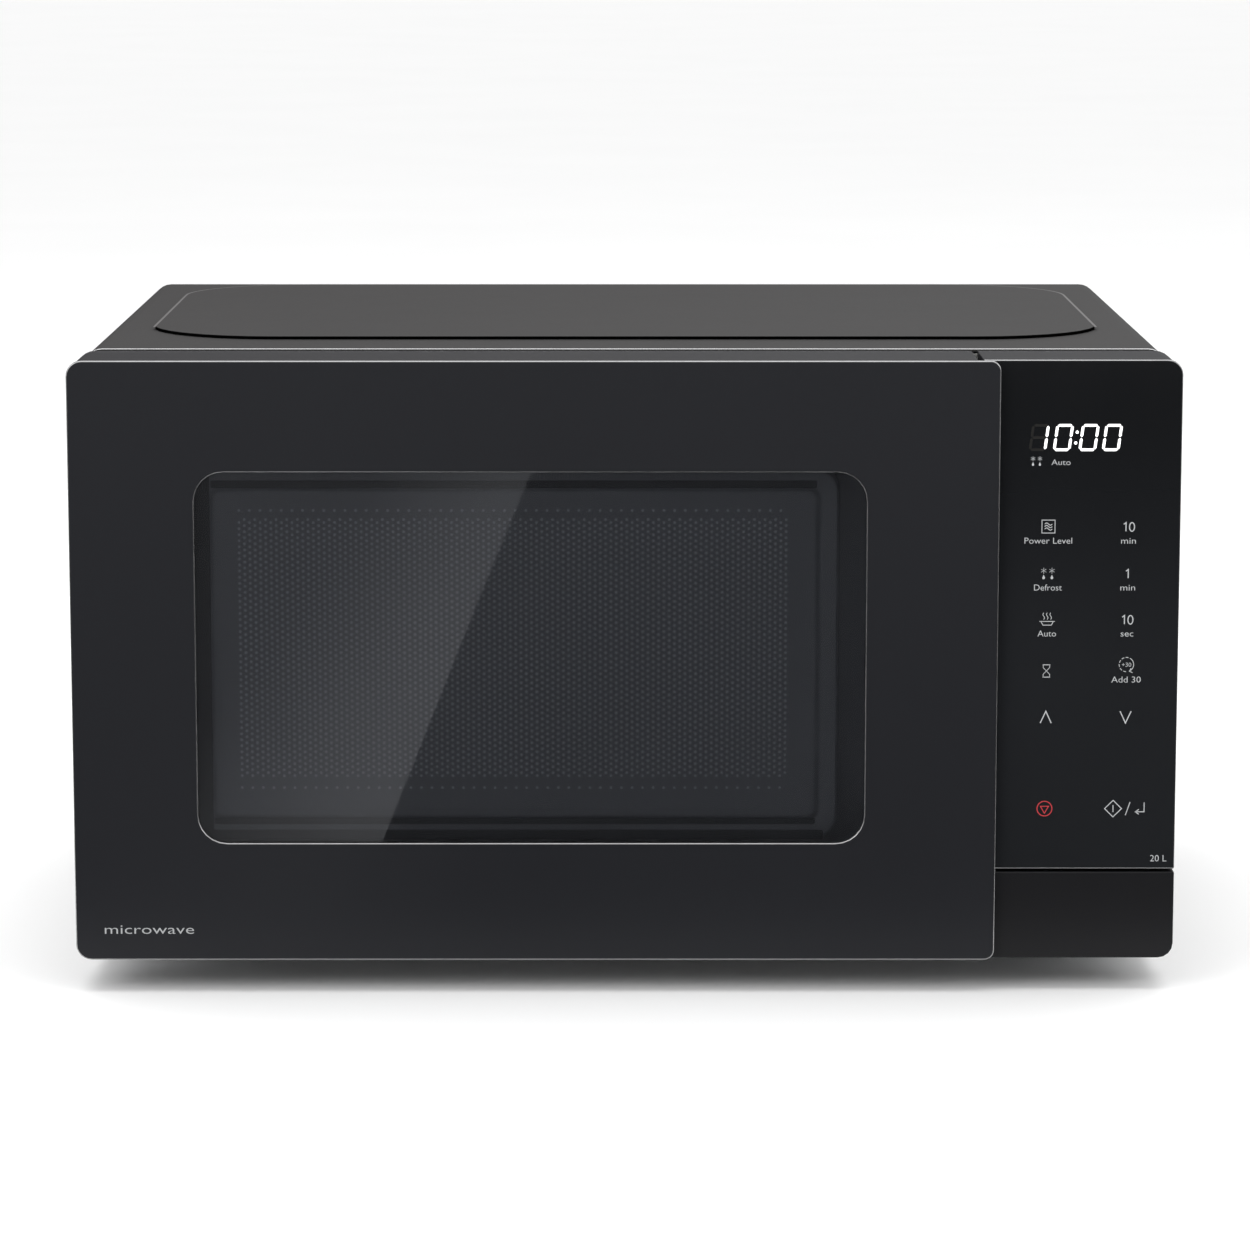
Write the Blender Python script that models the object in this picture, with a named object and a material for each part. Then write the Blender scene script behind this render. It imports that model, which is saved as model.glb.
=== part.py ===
"""Countertop microwave oven with a side-hung door, a push-to-open button and a glass turntable.

Metres, +Z up. The front faces -Y, +X is to the right of somebody in front of it. The origin is the middle of
the footprint, on the worktop that the four feet stand on.
"""

import math

import bmesh
import bpy
from mathutils import Matrix, Vector

# Driving dimensions of the whole oven
WIDTH, DEPTH, HEIGHT = 0.443, 0.340, 0.258
FOOT_HEIGHT = 0.0125
SHEET = 0.001  # sheet metal, everywhere
GAP = 0.0003  # between two pieces that meet
SMOOTH_ANGLE = math.radians(35)  # shallower edges are shaded as one round face

# Planes across the depth
Y_DOOR_FRONT = -DEPTH / 2
Y_PANEL_FRONT = Y_DOOR_FRONT + 0.004
Y_FRAME = Y_DOOR_FRONT + 0.040  # front face of the steel front frame
Y_WRAP_END = DEPTH / 2 - 0.0015

# The face: door on the left, controls on the right
FACE_BOTTOM, FACE_TOP = 0.0135, 0.2563
FACE_LEFT, FACE_RIGHT = -WIDTH / 2, WIDTH / 2
DOOR_BODY_RIGHT = 0.1409
DOOR_COVER_RIGHT = 0.1490  # the front cover overhangs the controls, as a grip
PANEL_LEFT = 0.1423
FASCIA_BOTTOM, BUTTON_TOP = 0.0503, 0.0490
WINDOW_X, WINDOW_Z, WINDOW_R = (-0.1714, 0.0961), (0.0616, 0.2118), 0.0116
DISPLAY_X, DISPLAY_Z = (0.160, 0.205), (0.2165, 0.2350)

# Inside the door: choke pan, its bulge towards the pane, and the recess that holds the screen
PAN_X, PAN_Z = (-0.2095, 0.1190), (0.0205, 0.2485)
BULGE_X, BULGE_Z, BULGE_R = (-0.1748, 0.0858), (0.0605, 0.2125), 0.010
RECESS_X, RECESS_Z, RECESS_R = (-0.1660, 0.0770), (0.0693, 0.2030), 0.003
TUNNEL_X, TUNNEL_Z, TUNNEL_R = (-0.1790, 0.1030), (0.0540, 0.2190), 0.012
Y_PAN, Y_BULGE, Y_SCREEN = -0.1455, -0.1580, -0.1550

# Cabinet and cavity
WRAP_X, WRAP_TOP, WRAP_R = 0.2195, 0.2567, 0.008
SHELL_X = 0.2180  # half width of the sheets that the wrap closes over
SHELL_Z = (0.0140, 0.2550)
SHELL_R = 0.0065  # corners of the front frame and the back panel, inside those of the wrap
Y_SHELL_FRONT = Y_FRAME + SHEET + 0.0005  # everything behind the front frame starts here
Y_BACK = Y_WRAP_END - SHEET - 0.0015  # inner face of the back panel
SLOT_BAR = 0.006  # metal left between two louvre slots of the wrap
CAVITY_X, CAVITY_Z, CAVITY_R = (-0.1985, 0.1075), (0.030, 0.238), 0.008
CAVITY_BACK = 0.1555
PLATEAU_X, PLATEAU_Y = 0.199, (-0.089, 0.154)
PLATEAU_R = 0.054
WAVE_MOUTH = ((-0.005, 0.050), (0.155, 0.205))  # Y and Z spans, in the cavity's right wall
LAMP_HOLE = ((0.100, 0.118), (0.195, 0.213))
ANTENNA_Y, ANTENNA_Z = 0.055, 0.183
CORD_X, CORD_Z = 0.185, 0.045
FOOT_X, FOOT_FRONT_Y, FOOT_REAR_Y = 0.180, -0.092, 0.135

# Hinge line of the door
HINGE_X, HINGE_Y = -0.2150, -0.1385
HINGE_ARM_Z = {"upper": 0.2405, "lower": 0.0295}
HINGE_PIN_R, HINGE_BORE_R = 0.0022, 0.0026
HINGE_SWEEP_R = 0.008  # the door's inner edge turns inside this radius

# Latch: two hooks on one key in the door, lifted by a lever behind the front frame
HOOK_X = (0.1262, 0.1312)
HOOK_TIP_Z = {"lower": 0.0600, "upper": 0.1940}
LEVER_Y, LEVER_Z, LEVER_HALF = -0.1262, 0.0570, 0.0022
BUTTON_TRAVEL = 0.005
ROD_X = (0.1465, 0.1505)
ROD_HOLE_Z = (0.0310, 0.0380)
SWITCHES = {"primary": 0.1967, "monitor": 0.2035, "secondary": 0.0660}  # heights

# Turntable
TURN_X, TURN_Y = -0.0455, 0.0135
TRAY_R, TRAY_BOTTOM = 0.1275, 0.0456
WHEEL_R, WHEEL_Z = 0.0075, 0.0378
WHEEL_TRACK = (0.0925, 0.1005)
AXLE_R = 0.0015

# Cooling fan
FAN_X, FAN_Z = 0.1630, 0.1450
FAN_R, SHROUD_R = 0.044, 0.047

# Screws of the wrap's back flange, as X and Z
WRAP_SCREWS = {"upper_left": (-0.2150, 0.200), "lower_left": (-0.2150, 0.060),
               "upper_right": (0.2150, 0.200), "lower_right": (0.2150, 0.060)}

# name: (colour, roughness, metallic)
FINISHES = {
    "black_paint": ((0.075, 0.074, 0.075), 0.50, 0.3),
    "galvanised": ((0.55, 0.56, 0.57), 0.45, 1.0),
    "cavity_enamel": ((0.42, 0.42, 0.41), 0.45, 0.0),
    "door_black": ((0.020, 0.021, 0.024), 0.40, 0.0),
    "panel_gloss": ((0.010, 0.011, 0.012), 0.10, 0.0),
    "inner_plastic": ((0.09, 0.09, 0.095), 0.50, 0.0),
    "screen_black": ((0.03, 0.03, 0.033), 0.35, 0.5),
    "smoked_glass": ((0.02, 0.02, 0.025), 0.05, 0.0),
    "clear_film": ((0.55, 0.56, 0.58), 0.20, 0.0),
    "clear_glass": ((0.75, 0.85, 0.83), 0.05, 0.0),
    "natural_plastic": ((0.72, 0.71, 0.66), 0.45, 0.0),
    "white_plastic": ((0.80, 0.80, 0.78), 0.40, 0.0),
    "switch_black": ((0.03, 0.03, 0.03), 0.45, 0.0),
    "plunger_red": ((0.45, 0.03, 0.02), 0.40, 0.0),
    "spring_steel": ((0.60, 0.60, 0.62), 0.30, 1.0),
    "zinc_screw": ((0.65, 0.65, 0.66), 0.35, 1.0),
    "rubber": ((0.02, 0.02, 0.02), 0.80, 0.0),
    "board_green": ((0.05, 0.22, 0.09), 0.45, 0.0),
    "mica": ((0.62, 0.56, 0.44), 0.60, 0.0),
    "aluminium": ((0.75, 0.76, 0.78), 0.40, 1.0),
    "lamination": ((0.22, 0.22, 0.24), 0.50, 0.7),
    "copper": ((0.72, 0.34, 0.17), 0.35, 1.0),
}

# Exact quarter turns that lay the Z axis along another one
AXIS_TURN = {
    "Z": ((1, 0, 0), (0, 1, 0), (0, 0, 1)),
    "Y": ((1, 0, 0), (0, 0, 1), (0, -1, 0)),
    "X": ((0, 0, 1), (0, 1, 0), (-1, 0, 0)),
}

MATERIALS = {}


# --- building blocks ----------------------------------------------------------------------------------------


def clear_scene():
    for obj in list(bpy.data.objects):
        bpy.data.objects.remove(obj, do_unlink=True)


def finish(name):
    """The Principled material of that name, made on first use."""
    if name not in MATERIALS:
        colour, roughness, metallic = FINISHES[name]
        material = bpy.data.materials.new(name)
        material.use_nodes = True
        shader = material.node_tree.nodes["Principled BSDF"]
        shader.inputs["Base Color"].default_value = (*colour, 1.0)
        shader.inputs["Roughness"].default_value = roughness
        shader.inputs["Metallic"].default_value = metallic
        MATERIALS[name] = material
    return MATERIALS[name]


def rounded(u0, u1, v0, v1, radii, steps=4):
    """Outline of a rectangle, anticlockwise from its low corner. radii is one corner radius or four."""
    radii = radii if isinstance(radii, tuple) else (radii,) * 4
    corners = ((u0, v0, 180), (u1, v0, 270), (u1, v1, 0), (u0, v1, 90))
    points = []
    for (u, v, start), radius in zip(corners, radii):
        if radius == 0:
            points.append((u, v))
            continue
        cu = u + (radius if u == u0 else -radius)
        cv = v + (radius if v == v0 else -radius)
        for i in range(steps + 1):
            angle = math.radians(start + 90 * i / steps)
            points.append((cu + radius * math.cos(angle), cv + radius * math.sin(angle)))
    return points


def prism(outline, axis, start, end):
    """A closed outline pulled along an axis. Its coordinates are the two other axes, in X, Y, Z order."""
    place = {
        "X": lambda u, v, w: (w, u, v),
        "Y": lambda u, v, w: (u, w, v),
        "Z": lambda u, v, w: (u, v, w),
    }[axis]
    bm = bmesh.new()
    low = [bm.verts.new(place(u, v, start)) for u, v in outline]
    face = bm.faces.new(low)
    pulled = bmesh.ops.extrude_face_region(bm, geom=[face])["geom"]
    verts = [g for g in pulled if isinstance(g, bmesh.types.BMVert)]
    bmesh.ops.translate(bm, verts=verts, vec=place(0, 0, end - start))
    bmesh.ops.recalc_face_normals(bm, faces=bm.faces)
    return bm


def grown(span, by):
    """A span made longer at both ends, or shorter."""
    return span[0] - by, span[1] + by


def block(x, y, z):
    bm = bmesh.new()
    bmesh.ops.create_cube(bm, size=1.0)
    size = Vector((x[1] - x[0], y[1] - y[0], z[1] - z[0]))
    middle = Vector((x[0] + x[1], y[0] + y[1], z[0] + z[1])) / 2
    bmesh.ops.scale(bm, vec=size, verts=bm.verts)
    bmesh.ops.translate(bm, vec=middle, verts=bm.verts)
    return bm


def blocks(boxes):
    """Several separate boxes in one mesh, for a row of cuts."""
    bm = bmesh.new()
    for x, y, z in boxes:
        piece = block(x, y, z)
        mesh = bpy.data.meshes.new("box")
        piece.to_mesh(mesh)
        piece.free()
        bm.from_mesh(mesh)
        bpy.data.meshes.remove(mesh)
    return bm


def turned(profile, centre, axis="Z", steps=24):
    """A closed (radius, height) profile spun round an axis through centre. Radius 0 is the axis."""
    bm = bmesh.new()
    verts = [bm.verts.new((r, 0, h)) for r, h in profile]
    edges = [bm.edges.new(pair) for pair in zip(verts, verts[1:])]
    if profile[0][0] > 0:
        edges.append(bm.edges.new((verts[-1], verts[0])))
    bmesh.ops.spin(
        bm, geom=verts + edges, cent=(0, 0, 0), axis=(0, 0, 1), angle=math.tau, steps=steps,
        use_duplicate=False,
    )
    bmesh.ops.remove_doubles(bm, verts=bm.verts, dist=1e-6)
    bmesh.ops.recalc_face_normals(bm, faces=bm.faces)
    bm.transform(Matrix.Translation(centre) @ Matrix(AXIS_TURN[axis]).to_4x4())
    return bm


def cylinder(radius, start, end, centre, axis="Z", steps=16):
    """A round bar. start and end are heights from centre along the axis."""
    return turned([(0, start), (radius, start), (radius, end), (0, end)], centre, axis, steps)


def add(name, bm, material, pivot=None):
    mesh = bpy.data.meshes.new(name)
    bm.to_mesh(mesh)
    bm.free()
    mesh.shade_smooth()
    mesh.set_sharp_from_angle(angle=SMOOTH_ANGLE)
    obj = bpy.data.objects.new(name, mesh)
    bpy.context.scene.collection.objects.link(obj)
    if material:
        mesh.materials.append(finish(material))
    if pivot:
        obj.parent = pivot
        obj.matrix_parent_inverse = pivot.matrix_basis.inverted()
    return obj


def combine(obj, operation, bm):
    """Cuts bm out of obj, or joins it on."""
    helper = add(f"{obj.name}_{operation.lower()}_{len(obj.modifiers)}", bm, None)
    helper.hide_render = True
    helper.display_type = "WIRE"
    modifier = obj.modifiers.new(operation.lower(), "BOOLEAN")
    modifier.operation = operation
    modifier.solver = "EXACT"
    modifier.object = helper


def cut(obj, *shapes):
    for bm in shapes:
        combine(obj, "DIFFERENCE", bm)


def weld_on(obj, *shapes):
    for bm in shapes:
        combine(obj, "UNION", bm)


def pivot_at(name, x, y, z):
    empty = bpy.data.objects.new(name, None)
    empty.location = (x, y, z)
    bpy.context.scene.collection.objects.link(empty)
    return empty


def coil(name, centre, axis, start, end, radius, wire, turns, material, pivot=None):
    """A compression spring: one wire wound round an axis, from start to end along it."""
    per_turn = 12
    count = turns * per_turn
    curve = bpy.data.curves.new(name, "CURVE")
    curve.dimensions = "3D"
    curve.bevel_depth = wire
    curve.bevel_resolution = 1
    curve.use_fill_caps = True
    line = curve.splines.new("POLY")
    line.points.add(count)
    low, high = start + wire, end - wire
    for i in range(count + 1):
        angle = math.tau * i / per_turn
        u, v = radius * math.cos(angle), radius * math.sin(angle)
        w = low + (high - low) * i / count
        offset = (u, v, w) if axis == "Z" else (u, w, v)
        point = Vector(offset) + Vector(centre)
        line.points[i].co = (*point, 1)
    obj = bpy.data.objects.new(name, curve)
    bpy.context.scene.collection.objects.link(obj)
    curve.materials.append(finish(material))
    if pivot:
        obj.parent = pivot
        obj.matrix_parent_inverse = pivot.matrix_basis.inverted()
    return obj


def grid(u0, u1, columns, v0, v1, rows, bar_u, bar_v):
    """Spans of a grid of slots with bars of those widths between them: [((u0, u1), (v0, v1)), ...]."""
    wide = (u1 - u0 - bar_u * (columns - 1)) / columns
    high = (v1 - v0 - bar_v * (rows - 1)) / rows
    spans = []
    for i in range(columns):
        for j in range(rows):
            u = u0 + i * (wide + bar_u)
            v = v0 + j * (high + bar_v)
            spans.append(((u, u + wide), (v, v + high)))
    return spans


# --- cabinet ------------------------------------------------------------------------------------------------


def outer_wrap():
    """Top and both sides in one folded sheet, with a flange round the back and a plateau on top."""
    corner = (0, 0, WRAP_R, WRAP_R)
    inner = (0, 0, WRAP_R - SHEET, WRAP_R - SHEET)
    flange = 0.009
    wrap = add(
        "outer_wrap",
        prism(rounded(-WRAP_X, WRAP_X, FACE_BOTTOM, WRAP_TOP, corner, 6), "Y", Y_SHELL_FRONT, Y_WRAP_END),
        "black_paint",
    )
    side, top = WRAP_X - SHEET, WRAP_TOP - SHEET
    cut(
        wrap,
        prism(rounded(-side, side, -0.02, top, inner, 6), "Y", -0.2, Y_WRAP_END - SHEET),
        block((-WRAP_X + flange, WRAP_X - flange), (0.16, 0.18), (-0.03, WRAP_TOP - flange)),
    )
    plateau = rounded(-PLATEAU_X, PLATEAU_X, *PLATEAU_Y, PLATEAU_R, 8)
    weld_on(wrap, prism(plateau, "Z", WRAP_TOP - 0.0005, HEIGHT))
    right = grid(0.010, 0.130, 4, 0.035, 0.115, 8, SLOT_BAR, SLOT_BAR)
    cut(wrap, blocks([((side - 0.005, WRAP_X + 0.005), y, z) for y, z in right]))
    left = grid(0.060, 0.140, 3, 0.175, 0.225, 5, SLOT_BAR, SLOT_BAR)
    cut(wrap, blocks([((-WRAP_X - 0.005, -side + 0.005), y, z) for y, z in left]))
    for x, z in WRAP_SCREWS.values():
        cut(wrap, cylinder(0.0020, -0.003, 0.003, (x, Y_WRAP_END, z), "Y", 12))


def back_panel():
    panel = add(
        "back_panel",
        prism(rounded(-SHELL_X, SHELL_X, *SHELL_Z, SHELL_R), "Y", Y_BACK, Y_BACK + SHEET),
        "galvanised",
    )
    through = (Y_BACK - 0.01, Y_BACK + 0.01)
    half, bar_x, bar_z = 0.041, 0.008, 0.0045
    intake = grid(FAN_X - half, FAN_X + half, 2, FAN_Z - half, FAN_Z + half, 10, bar_x, bar_z)
    outlet = grid(-0.170, -0.040, 3, 0.185, 0.225, 5, bar_x, bar_z)
    cut(panel, blocks([(x, through, z) for x, z in intake + outlet]))
    cut(panel, cylinder(0.0080, -0.005, 0.005, (CORD_X, Y_BACK, CORD_Z), "Y", 20))
    for x, z in WRAP_SCREWS.values():
        cut(panel, cylinder(0.0020, -0.005, 0.005, (x, Y_BACK, z), "Y", 12))


def cord_gland():
    """The bush that the mains cord passes through: a neck in the back panel, with a flange on each side."""
    bore, flange, neck = 0.0042, 0.0100, 0.0076
    profile = [
        (bore, -0.006), (flange, -0.006), (flange, -GAP), (neck, -GAP),
        (neck, SHEET + GAP), (flange, SHEET + GAP), (0.0085, 0.0030), (bore, 0.0030),
    ]
    add("cord_gland", turned(profile, (CORD_X, Y_BACK, CORD_Z), "Y", 20), "rubber")


def base_plate():
    """Bottom sheet with a turned-up edge at the sides and the back."""
    back = Y_WRAP_END - SHEET - 0.0020
    x, z, lip = SHELL_X, FOOT_HEIGHT, 0.009
    plate = add("base_plate", block((-x, x), (Y_SHELL_FRONT, back), (z, z + lip)), "galvanised")
    cut(plate, block((-x + SHEET, x - SHEET), (-0.2, back - SHEET), (z + SHEET, z + 0.02)))
    bar = 0.007
    slots = grid(0.120, 0.205, 3, -0.045, 0.050, 7, bar, bar)
    slots += grid(-0.190, -0.120, 2, 0.060, 0.130, 5, bar, bar)
    cut(plate, blocks([(sx, sy, (z - 0.01, z + 0.005)) for sx, sy in slots]))


def feet():
    places = {"front_left": (-FOOT_X, FOOT_FRONT_Y), "front_right": (FOOT_X, FOOT_FRONT_Y),
              "rear_left": (-FOOT_X, FOOT_REAR_Y), "rear_right": (FOOT_X, FOOT_REAR_Y)}
    top = FOOT_HEIGHT - GAP
    profile = [(0, 0), (0.0095, 0), (0.0110, 0.0015), (0.0130, top), (0, top)]
    for name, (x, y) in places.items():
        add(f"foot_{name}", turned(profile, (x, y, 0), "Z", 20), "rubber")


def wrap_screws():
    """Pan-head screws through the wrap's back flange into the back panel."""
    profile = [(0, -0.0085), (0.0015, -0.0085), (0.0015, GAP), (0.0032, GAP), (0.0026, 0.0015), (0, 0.0015)]
    for name, (x, z) in WRAP_SCREWS.items():
        add(f"wrap_screw_{name}", turned(profile, (x, Y_WRAP_END, z), "Y", 12), "zinc_screw")


def front_frame():
    """Steel face plate that the door closes against."""
    frame = add(
        "front_frame",
        prism(rounded(-SHELL_X, SHELL_X, *SHELL_Z, SHELL_R), "Y", Y_FRAME, Y_FRAME + SHEET),
        "cavity_enamel",
    )
    through = (Y_FRAME - 0.01, Y_FRAME + 0.01)
    cut(frame, prism(rounded(*CAVITY_X, *CAVITY_Z, CAVITY_R), "Y", *through))
    holes = [((0.1240, 0.1345), through, (tip - 0.0015, tip + 0.0145)) for tip in HOOK_TIP_Z.values()]
    holes.append(((ROD_X[0] - 0.0015, ROD_X[1] + 0.0015), through, ROD_HOLE_Z))
    cable_hole = ((0.160, 0.205), through, (0.070, 0.150))
    holes.append(cable_hole)
    holes += [((-0.2300, -0.2090), through, (arm - 0.002, arm + 0.002)) for arm in HINGE_ARM_Z.values()]
    cut(frame, blocks(holes))


def cavity_liner():
    """Cooking cavity: floor, ceiling, sides and back, open to the front."""
    front, back = Y_FRAME + SHEET + GAP, CAVITY_BACK
    x0, x1, z0, z1 = *CAVITY_X, *CAVITY_Z
    outer = rounded(x0 - SHEET, x1 + SHEET, z0 - SHEET, z1 + SHEET, CAVITY_R + SHEET)
    liner = add("cavity_liner", prism(outer, "Y", front, back + SHEET), "cavity_enamel")
    cut(
        liner,
        prism(rounded(x0, x1, z0, z1, CAVITY_R), "Y", -0.2, back),
        cylinder(0.0105, -0.005, 0.005, (TURN_X, TURN_Y, z0), "Z", 20),
        blocks([((x1 - 0.005, x1 + 0.005), *WAVE_MOUTH), ((x1 - 0.005, x1 + 0.005), *LAMP_HOLE)]),
    )


def hinges():
    """A bracket behind the front frame. Its arm comes through and carries the door's hinge pin."""
    back = Y_FRAME + SHEET + GAP
    for name, arm in HINGE_ARM_Z.items():
        towards_middle = -1 if name == "upper" else 1
        ends = sorted((arm - towards_middle * 0.0115, arm + towards_middle * 0.0185))
        bracket = add(f"hinge_{name}", block((-0.2165, -0.2005), (back, back + 0.0015), ends), "spring_steel")
        weld_on(
            bracket,
            block((-0.2180, -0.2115), (HINGE_Y - 0.003, back + 0.001), (arm - 0.001, arm + 0.001)),
            cylinder(HINGE_PIN_R, -0.007, 0.007, (HINGE_X, HINGE_Y, arm), "Z", 16),
        )


# --- control panel ------------------------------------------------------------------------------------------


def control_housing():
    """Moulded box behind the fascia. Its lower part stands back to make room for the door button."""
    front, back, wall, corner = Y_PANEL_FRONT + 0.0022, Y_FRAME - 0.0005, 0.002, 0.0075
    outline = rounded(PANEL_LEFT, FACE_RIGHT, FACE_BOTTOM, FACE_TOP, (0, corner, corner, 0), 6)
    housing = add("control_housing", prism(outline, "Y", front, back), "inner_plastic")
    inside = (PANEL_LEFT + wall, FACE_RIGHT - wall)
    shelf, recess = FASCIA_BOTTOM - 0.0005, Y_PANEL_FRONT + 0.018
    cut(
        housing,
        prism(rounded(*inside, shelf + wall, FACE_TOP - wall, (0, 0, 0.0055, 0)), "Y", front + wall, -0.12),
        block((0.13, 0.23), (-0.18, recess), (0.0, shelf)),
        prism(rounded(*inside, FACE_BOTTOM + wall, shelf + wall, (0, 0.0055, 0, 0)), "Y", recess + wall, -0.12),
        block(DISPLAY_X, (-0.18, -0.158), DISPLAY_Z),
        block((ROD_X[0] - 0.0015, ROD_X[1] + 0.0015), (-0.155, -0.14), ROD_HOLE_Z),
    )


def control_fascia():
    """Glossy touch fascia. The touch pads and the display read through it, so nothing on it travels."""
    outline = rounded(PANEL_LEFT, FACE_RIGHT, FASCIA_BOTTOM, FACE_TOP, (0, 0, 0.006, 0), 6)
    add("control_fascia", prism(outline, "Y", Y_PANEL_FRONT, Y_PANEL_FRONT + 0.0019), "panel_gloss")


def control_electronics():
    board_y = (-0.1500, -0.1484)
    board = add("control_board", block((0.1480, 0.2160), board_y, (0.060, 0.248)), "board_green")
    parts = [
        ((0.155, 0.172), (-0.1490, -0.1340), (0.080, 0.100)),  # relay
        ((0.180, 0.210), (-0.1490, -0.1320), (0.078, 0.108)),  # supply transformer
        ((0.158, 0.170), (-0.1490, -0.1380), (0.130, 0.142)),  # smoothing capacitor
        ((0.180, 0.200), (-0.1490, -0.1460), (0.150, 0.170)),  # controller chip
        ((0.165, 0.200), (-0.1490, -0.1400), (0.190, 0.198)),  # connector
    ]
    weld_on(board, *(block(*part) for part in parts))
    display = ((0.1605, 0.2045), (Y_PANEL_FRONT + 0.0045, board_y[0] - GAP), (0.2150, 0.2365))
    add("display_module", block(*display), "switch_black")


# --- door button and latch ----------------------------------------------------------------------------------


def release_button():
    """The wide push button under the fascia, with the rod that reaches the lever behind the front frame."""
    pivot = pivot_at("button_press", (PANEL_LEFT + FACE_RIGHT) / 2, Y_PANEL_FRONT, 0.031)
    wall, depth = 0.002, 0.012
    outline = rounded(PANEL_LEFT, FACE_RIGHT, FACE_BOTTOM, BUTTON_TOP, (0, 0.006, 0, 0))
    shape = prism(outline, "Y", Y_PANEL_FRONT, Y_PANEL_FRONT + depth)
    button = add("release_button", shape, "door_black", pivot)
    across, up = (PANEL_LEFT + wall, FACE_RIGHT - wall), (FACE_BOTTOM + wall, BUTTON_TOP - wall)
    inner = rounded(*across, *up, (0, 0.004, 0, 0))
    cut(button, prism(inner, "Y", Y_PANEL_FRONT + 0.0025, -0.14))
    tip = LEVER_Y - LEVER_HALF - 0.0006
    weld_on(
        button,
        block(ROD_X, (Y_PANEL_FRONT + 0.002, tip), (0.0335, 0.0355)),
        block((ROD_X[0] + 0.0012, ROD_X[1] - 0.0012), (Y_PANEL_FRONT + 0.002, -0.1390), (0.0320, 0.0370)),
    )
    coil("button_spring", (0.185, 0, 0.031), "Y", -0.1631, -0.1484, 0.004, 0.0004, 6, "spring_steel")


def release_lever():
    """Turns on its own shaft: the button's rod pushes the lower arm back, and the rear arm lifts the hook."""
    pivot = pivot_at("lever_turn", 0.139, LEVER_Y, LEVER_Z)
    centre = (0, LEVER_Y, LEVER_Z)
    lever = add("release_lever", cylinder(0.0018, 0.1250, 0.1552, centre, "X", 12), "natural_plastic", pivot)
    half = LEVER_HALF
    weld_on(
        lever,
        block((0.1455, 0.1515), (LEVER_Y - half, LEVER_Y + half), (0.0330, LEVER_Z + half)),
        block(HOOK_X, (LEVER_Y - half, -0.1135), (LEVER_Z - half, LEVER_Z + half)),
    )


def latch_board():
    """Carrier for the hooks' guides, the lever's shaft and the door switches."""
    front = Y_SHELL_FRONT
    board = add("latch_board", block((0.1330, 0.1350), (front, -0.0950), (0.042, 0.225)), "white_plastic")
    guide = ((0.1245, 0.1340), (front, -0.1000))
    guides = [block(*guide, (tip + 0.015, tip + 0.017)) for tip in HOOK_TIP_Z.values()]
    weld_on(
        board,
        *guides,
        block((0.1340, 0.1560), (front, -0.1180), (0.0630, 0.0650)),
        block((0.1530, 0.1550), (front + 0.0001, -0.1205), (0.0530, 0.0640)),
    )
    bearing = (LEVER_Z - LEVER_HALF, LEVER_Z + LEVER_HALF)
    cut(board, block((0.12, 0.16), (-0.14, LEVER_Y + LEVER_HALF), bearing))


def door_switches():
    """Flat microswitches behind the hooks, each with a plunger that the hook's end face holds in."""
    half, well, stem, blade = 0.0032, 0.0014, 0.001, 0.0003
    for name, z in SWITCHES.items():
        case = block((0.1130, 0.1326), (-0.1095, -0.0995), (z - half, z + half))
        switch = add(f"{name}_switch", case, "switch_black")
        cut(switch, block((0.1271, 0.1304), (-0.1100, -0.1070), (z - well, z + well)))
        for x in (0.115, 0.122, 0.128):
            weld_on(switch, block((x, x + 0.003), (-0.1000, -0.0955), (z - blade, z + blade)))
        pivot = pivot_at(f"{name}_plunger_press", 0.1287, -0.1095, z)
        plunger = block((0.1275, 0.1300), (-0.1116, -0.1085), (z - stem, z + stem))
        add(f"{name}_plunger", plunger, "plunger_red", pivot)


def latch_key(door):
    """Both door hooks on one sliding bar, and the spring that holds it down."""
    bar_front, bar_back, reach = -0.1440, -0.1345, -0.1120
    outline = [(bar_front, 0.0520), (bar_back, 0.0520)]
    for tip in HOOK_TIP_Z.values():
        outline += [
            (bar_back, tip + 0.004), (reach - 0.006, tip + 0.004), (reach - 0.006, tip), (reach - 0.002, tip),
            (reach, tip + 0.002), (reach, tip + 0.010), (bar_back, tip + 0.010),
        ]
    outline += [(bar_back, 0.2130), (bar_front, 0.2130)]
    pivot = pivot_at("hook_lift", 0.1287, -0.139, 0.132)
    pivot.parent = door
    pivot.matrix_parent_inverse = door.matrix_basis.inverted()
    key = add("latch_hooks", prism(outline, "X", *HOOK_X), "natural_plastic")
    key.parent = pivot
    key.matrix_parent_inverse = Matrix.Translation(pivot.location).inverted()
    coil("latch_spring", (0.1287, -0.1392, 0), "Z", 0.2133, 0.2300, 0.0032, 0.0004, 6, "spring_steel", door)


# --- door ---------------------------------------------------------------------------------------------------


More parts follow.
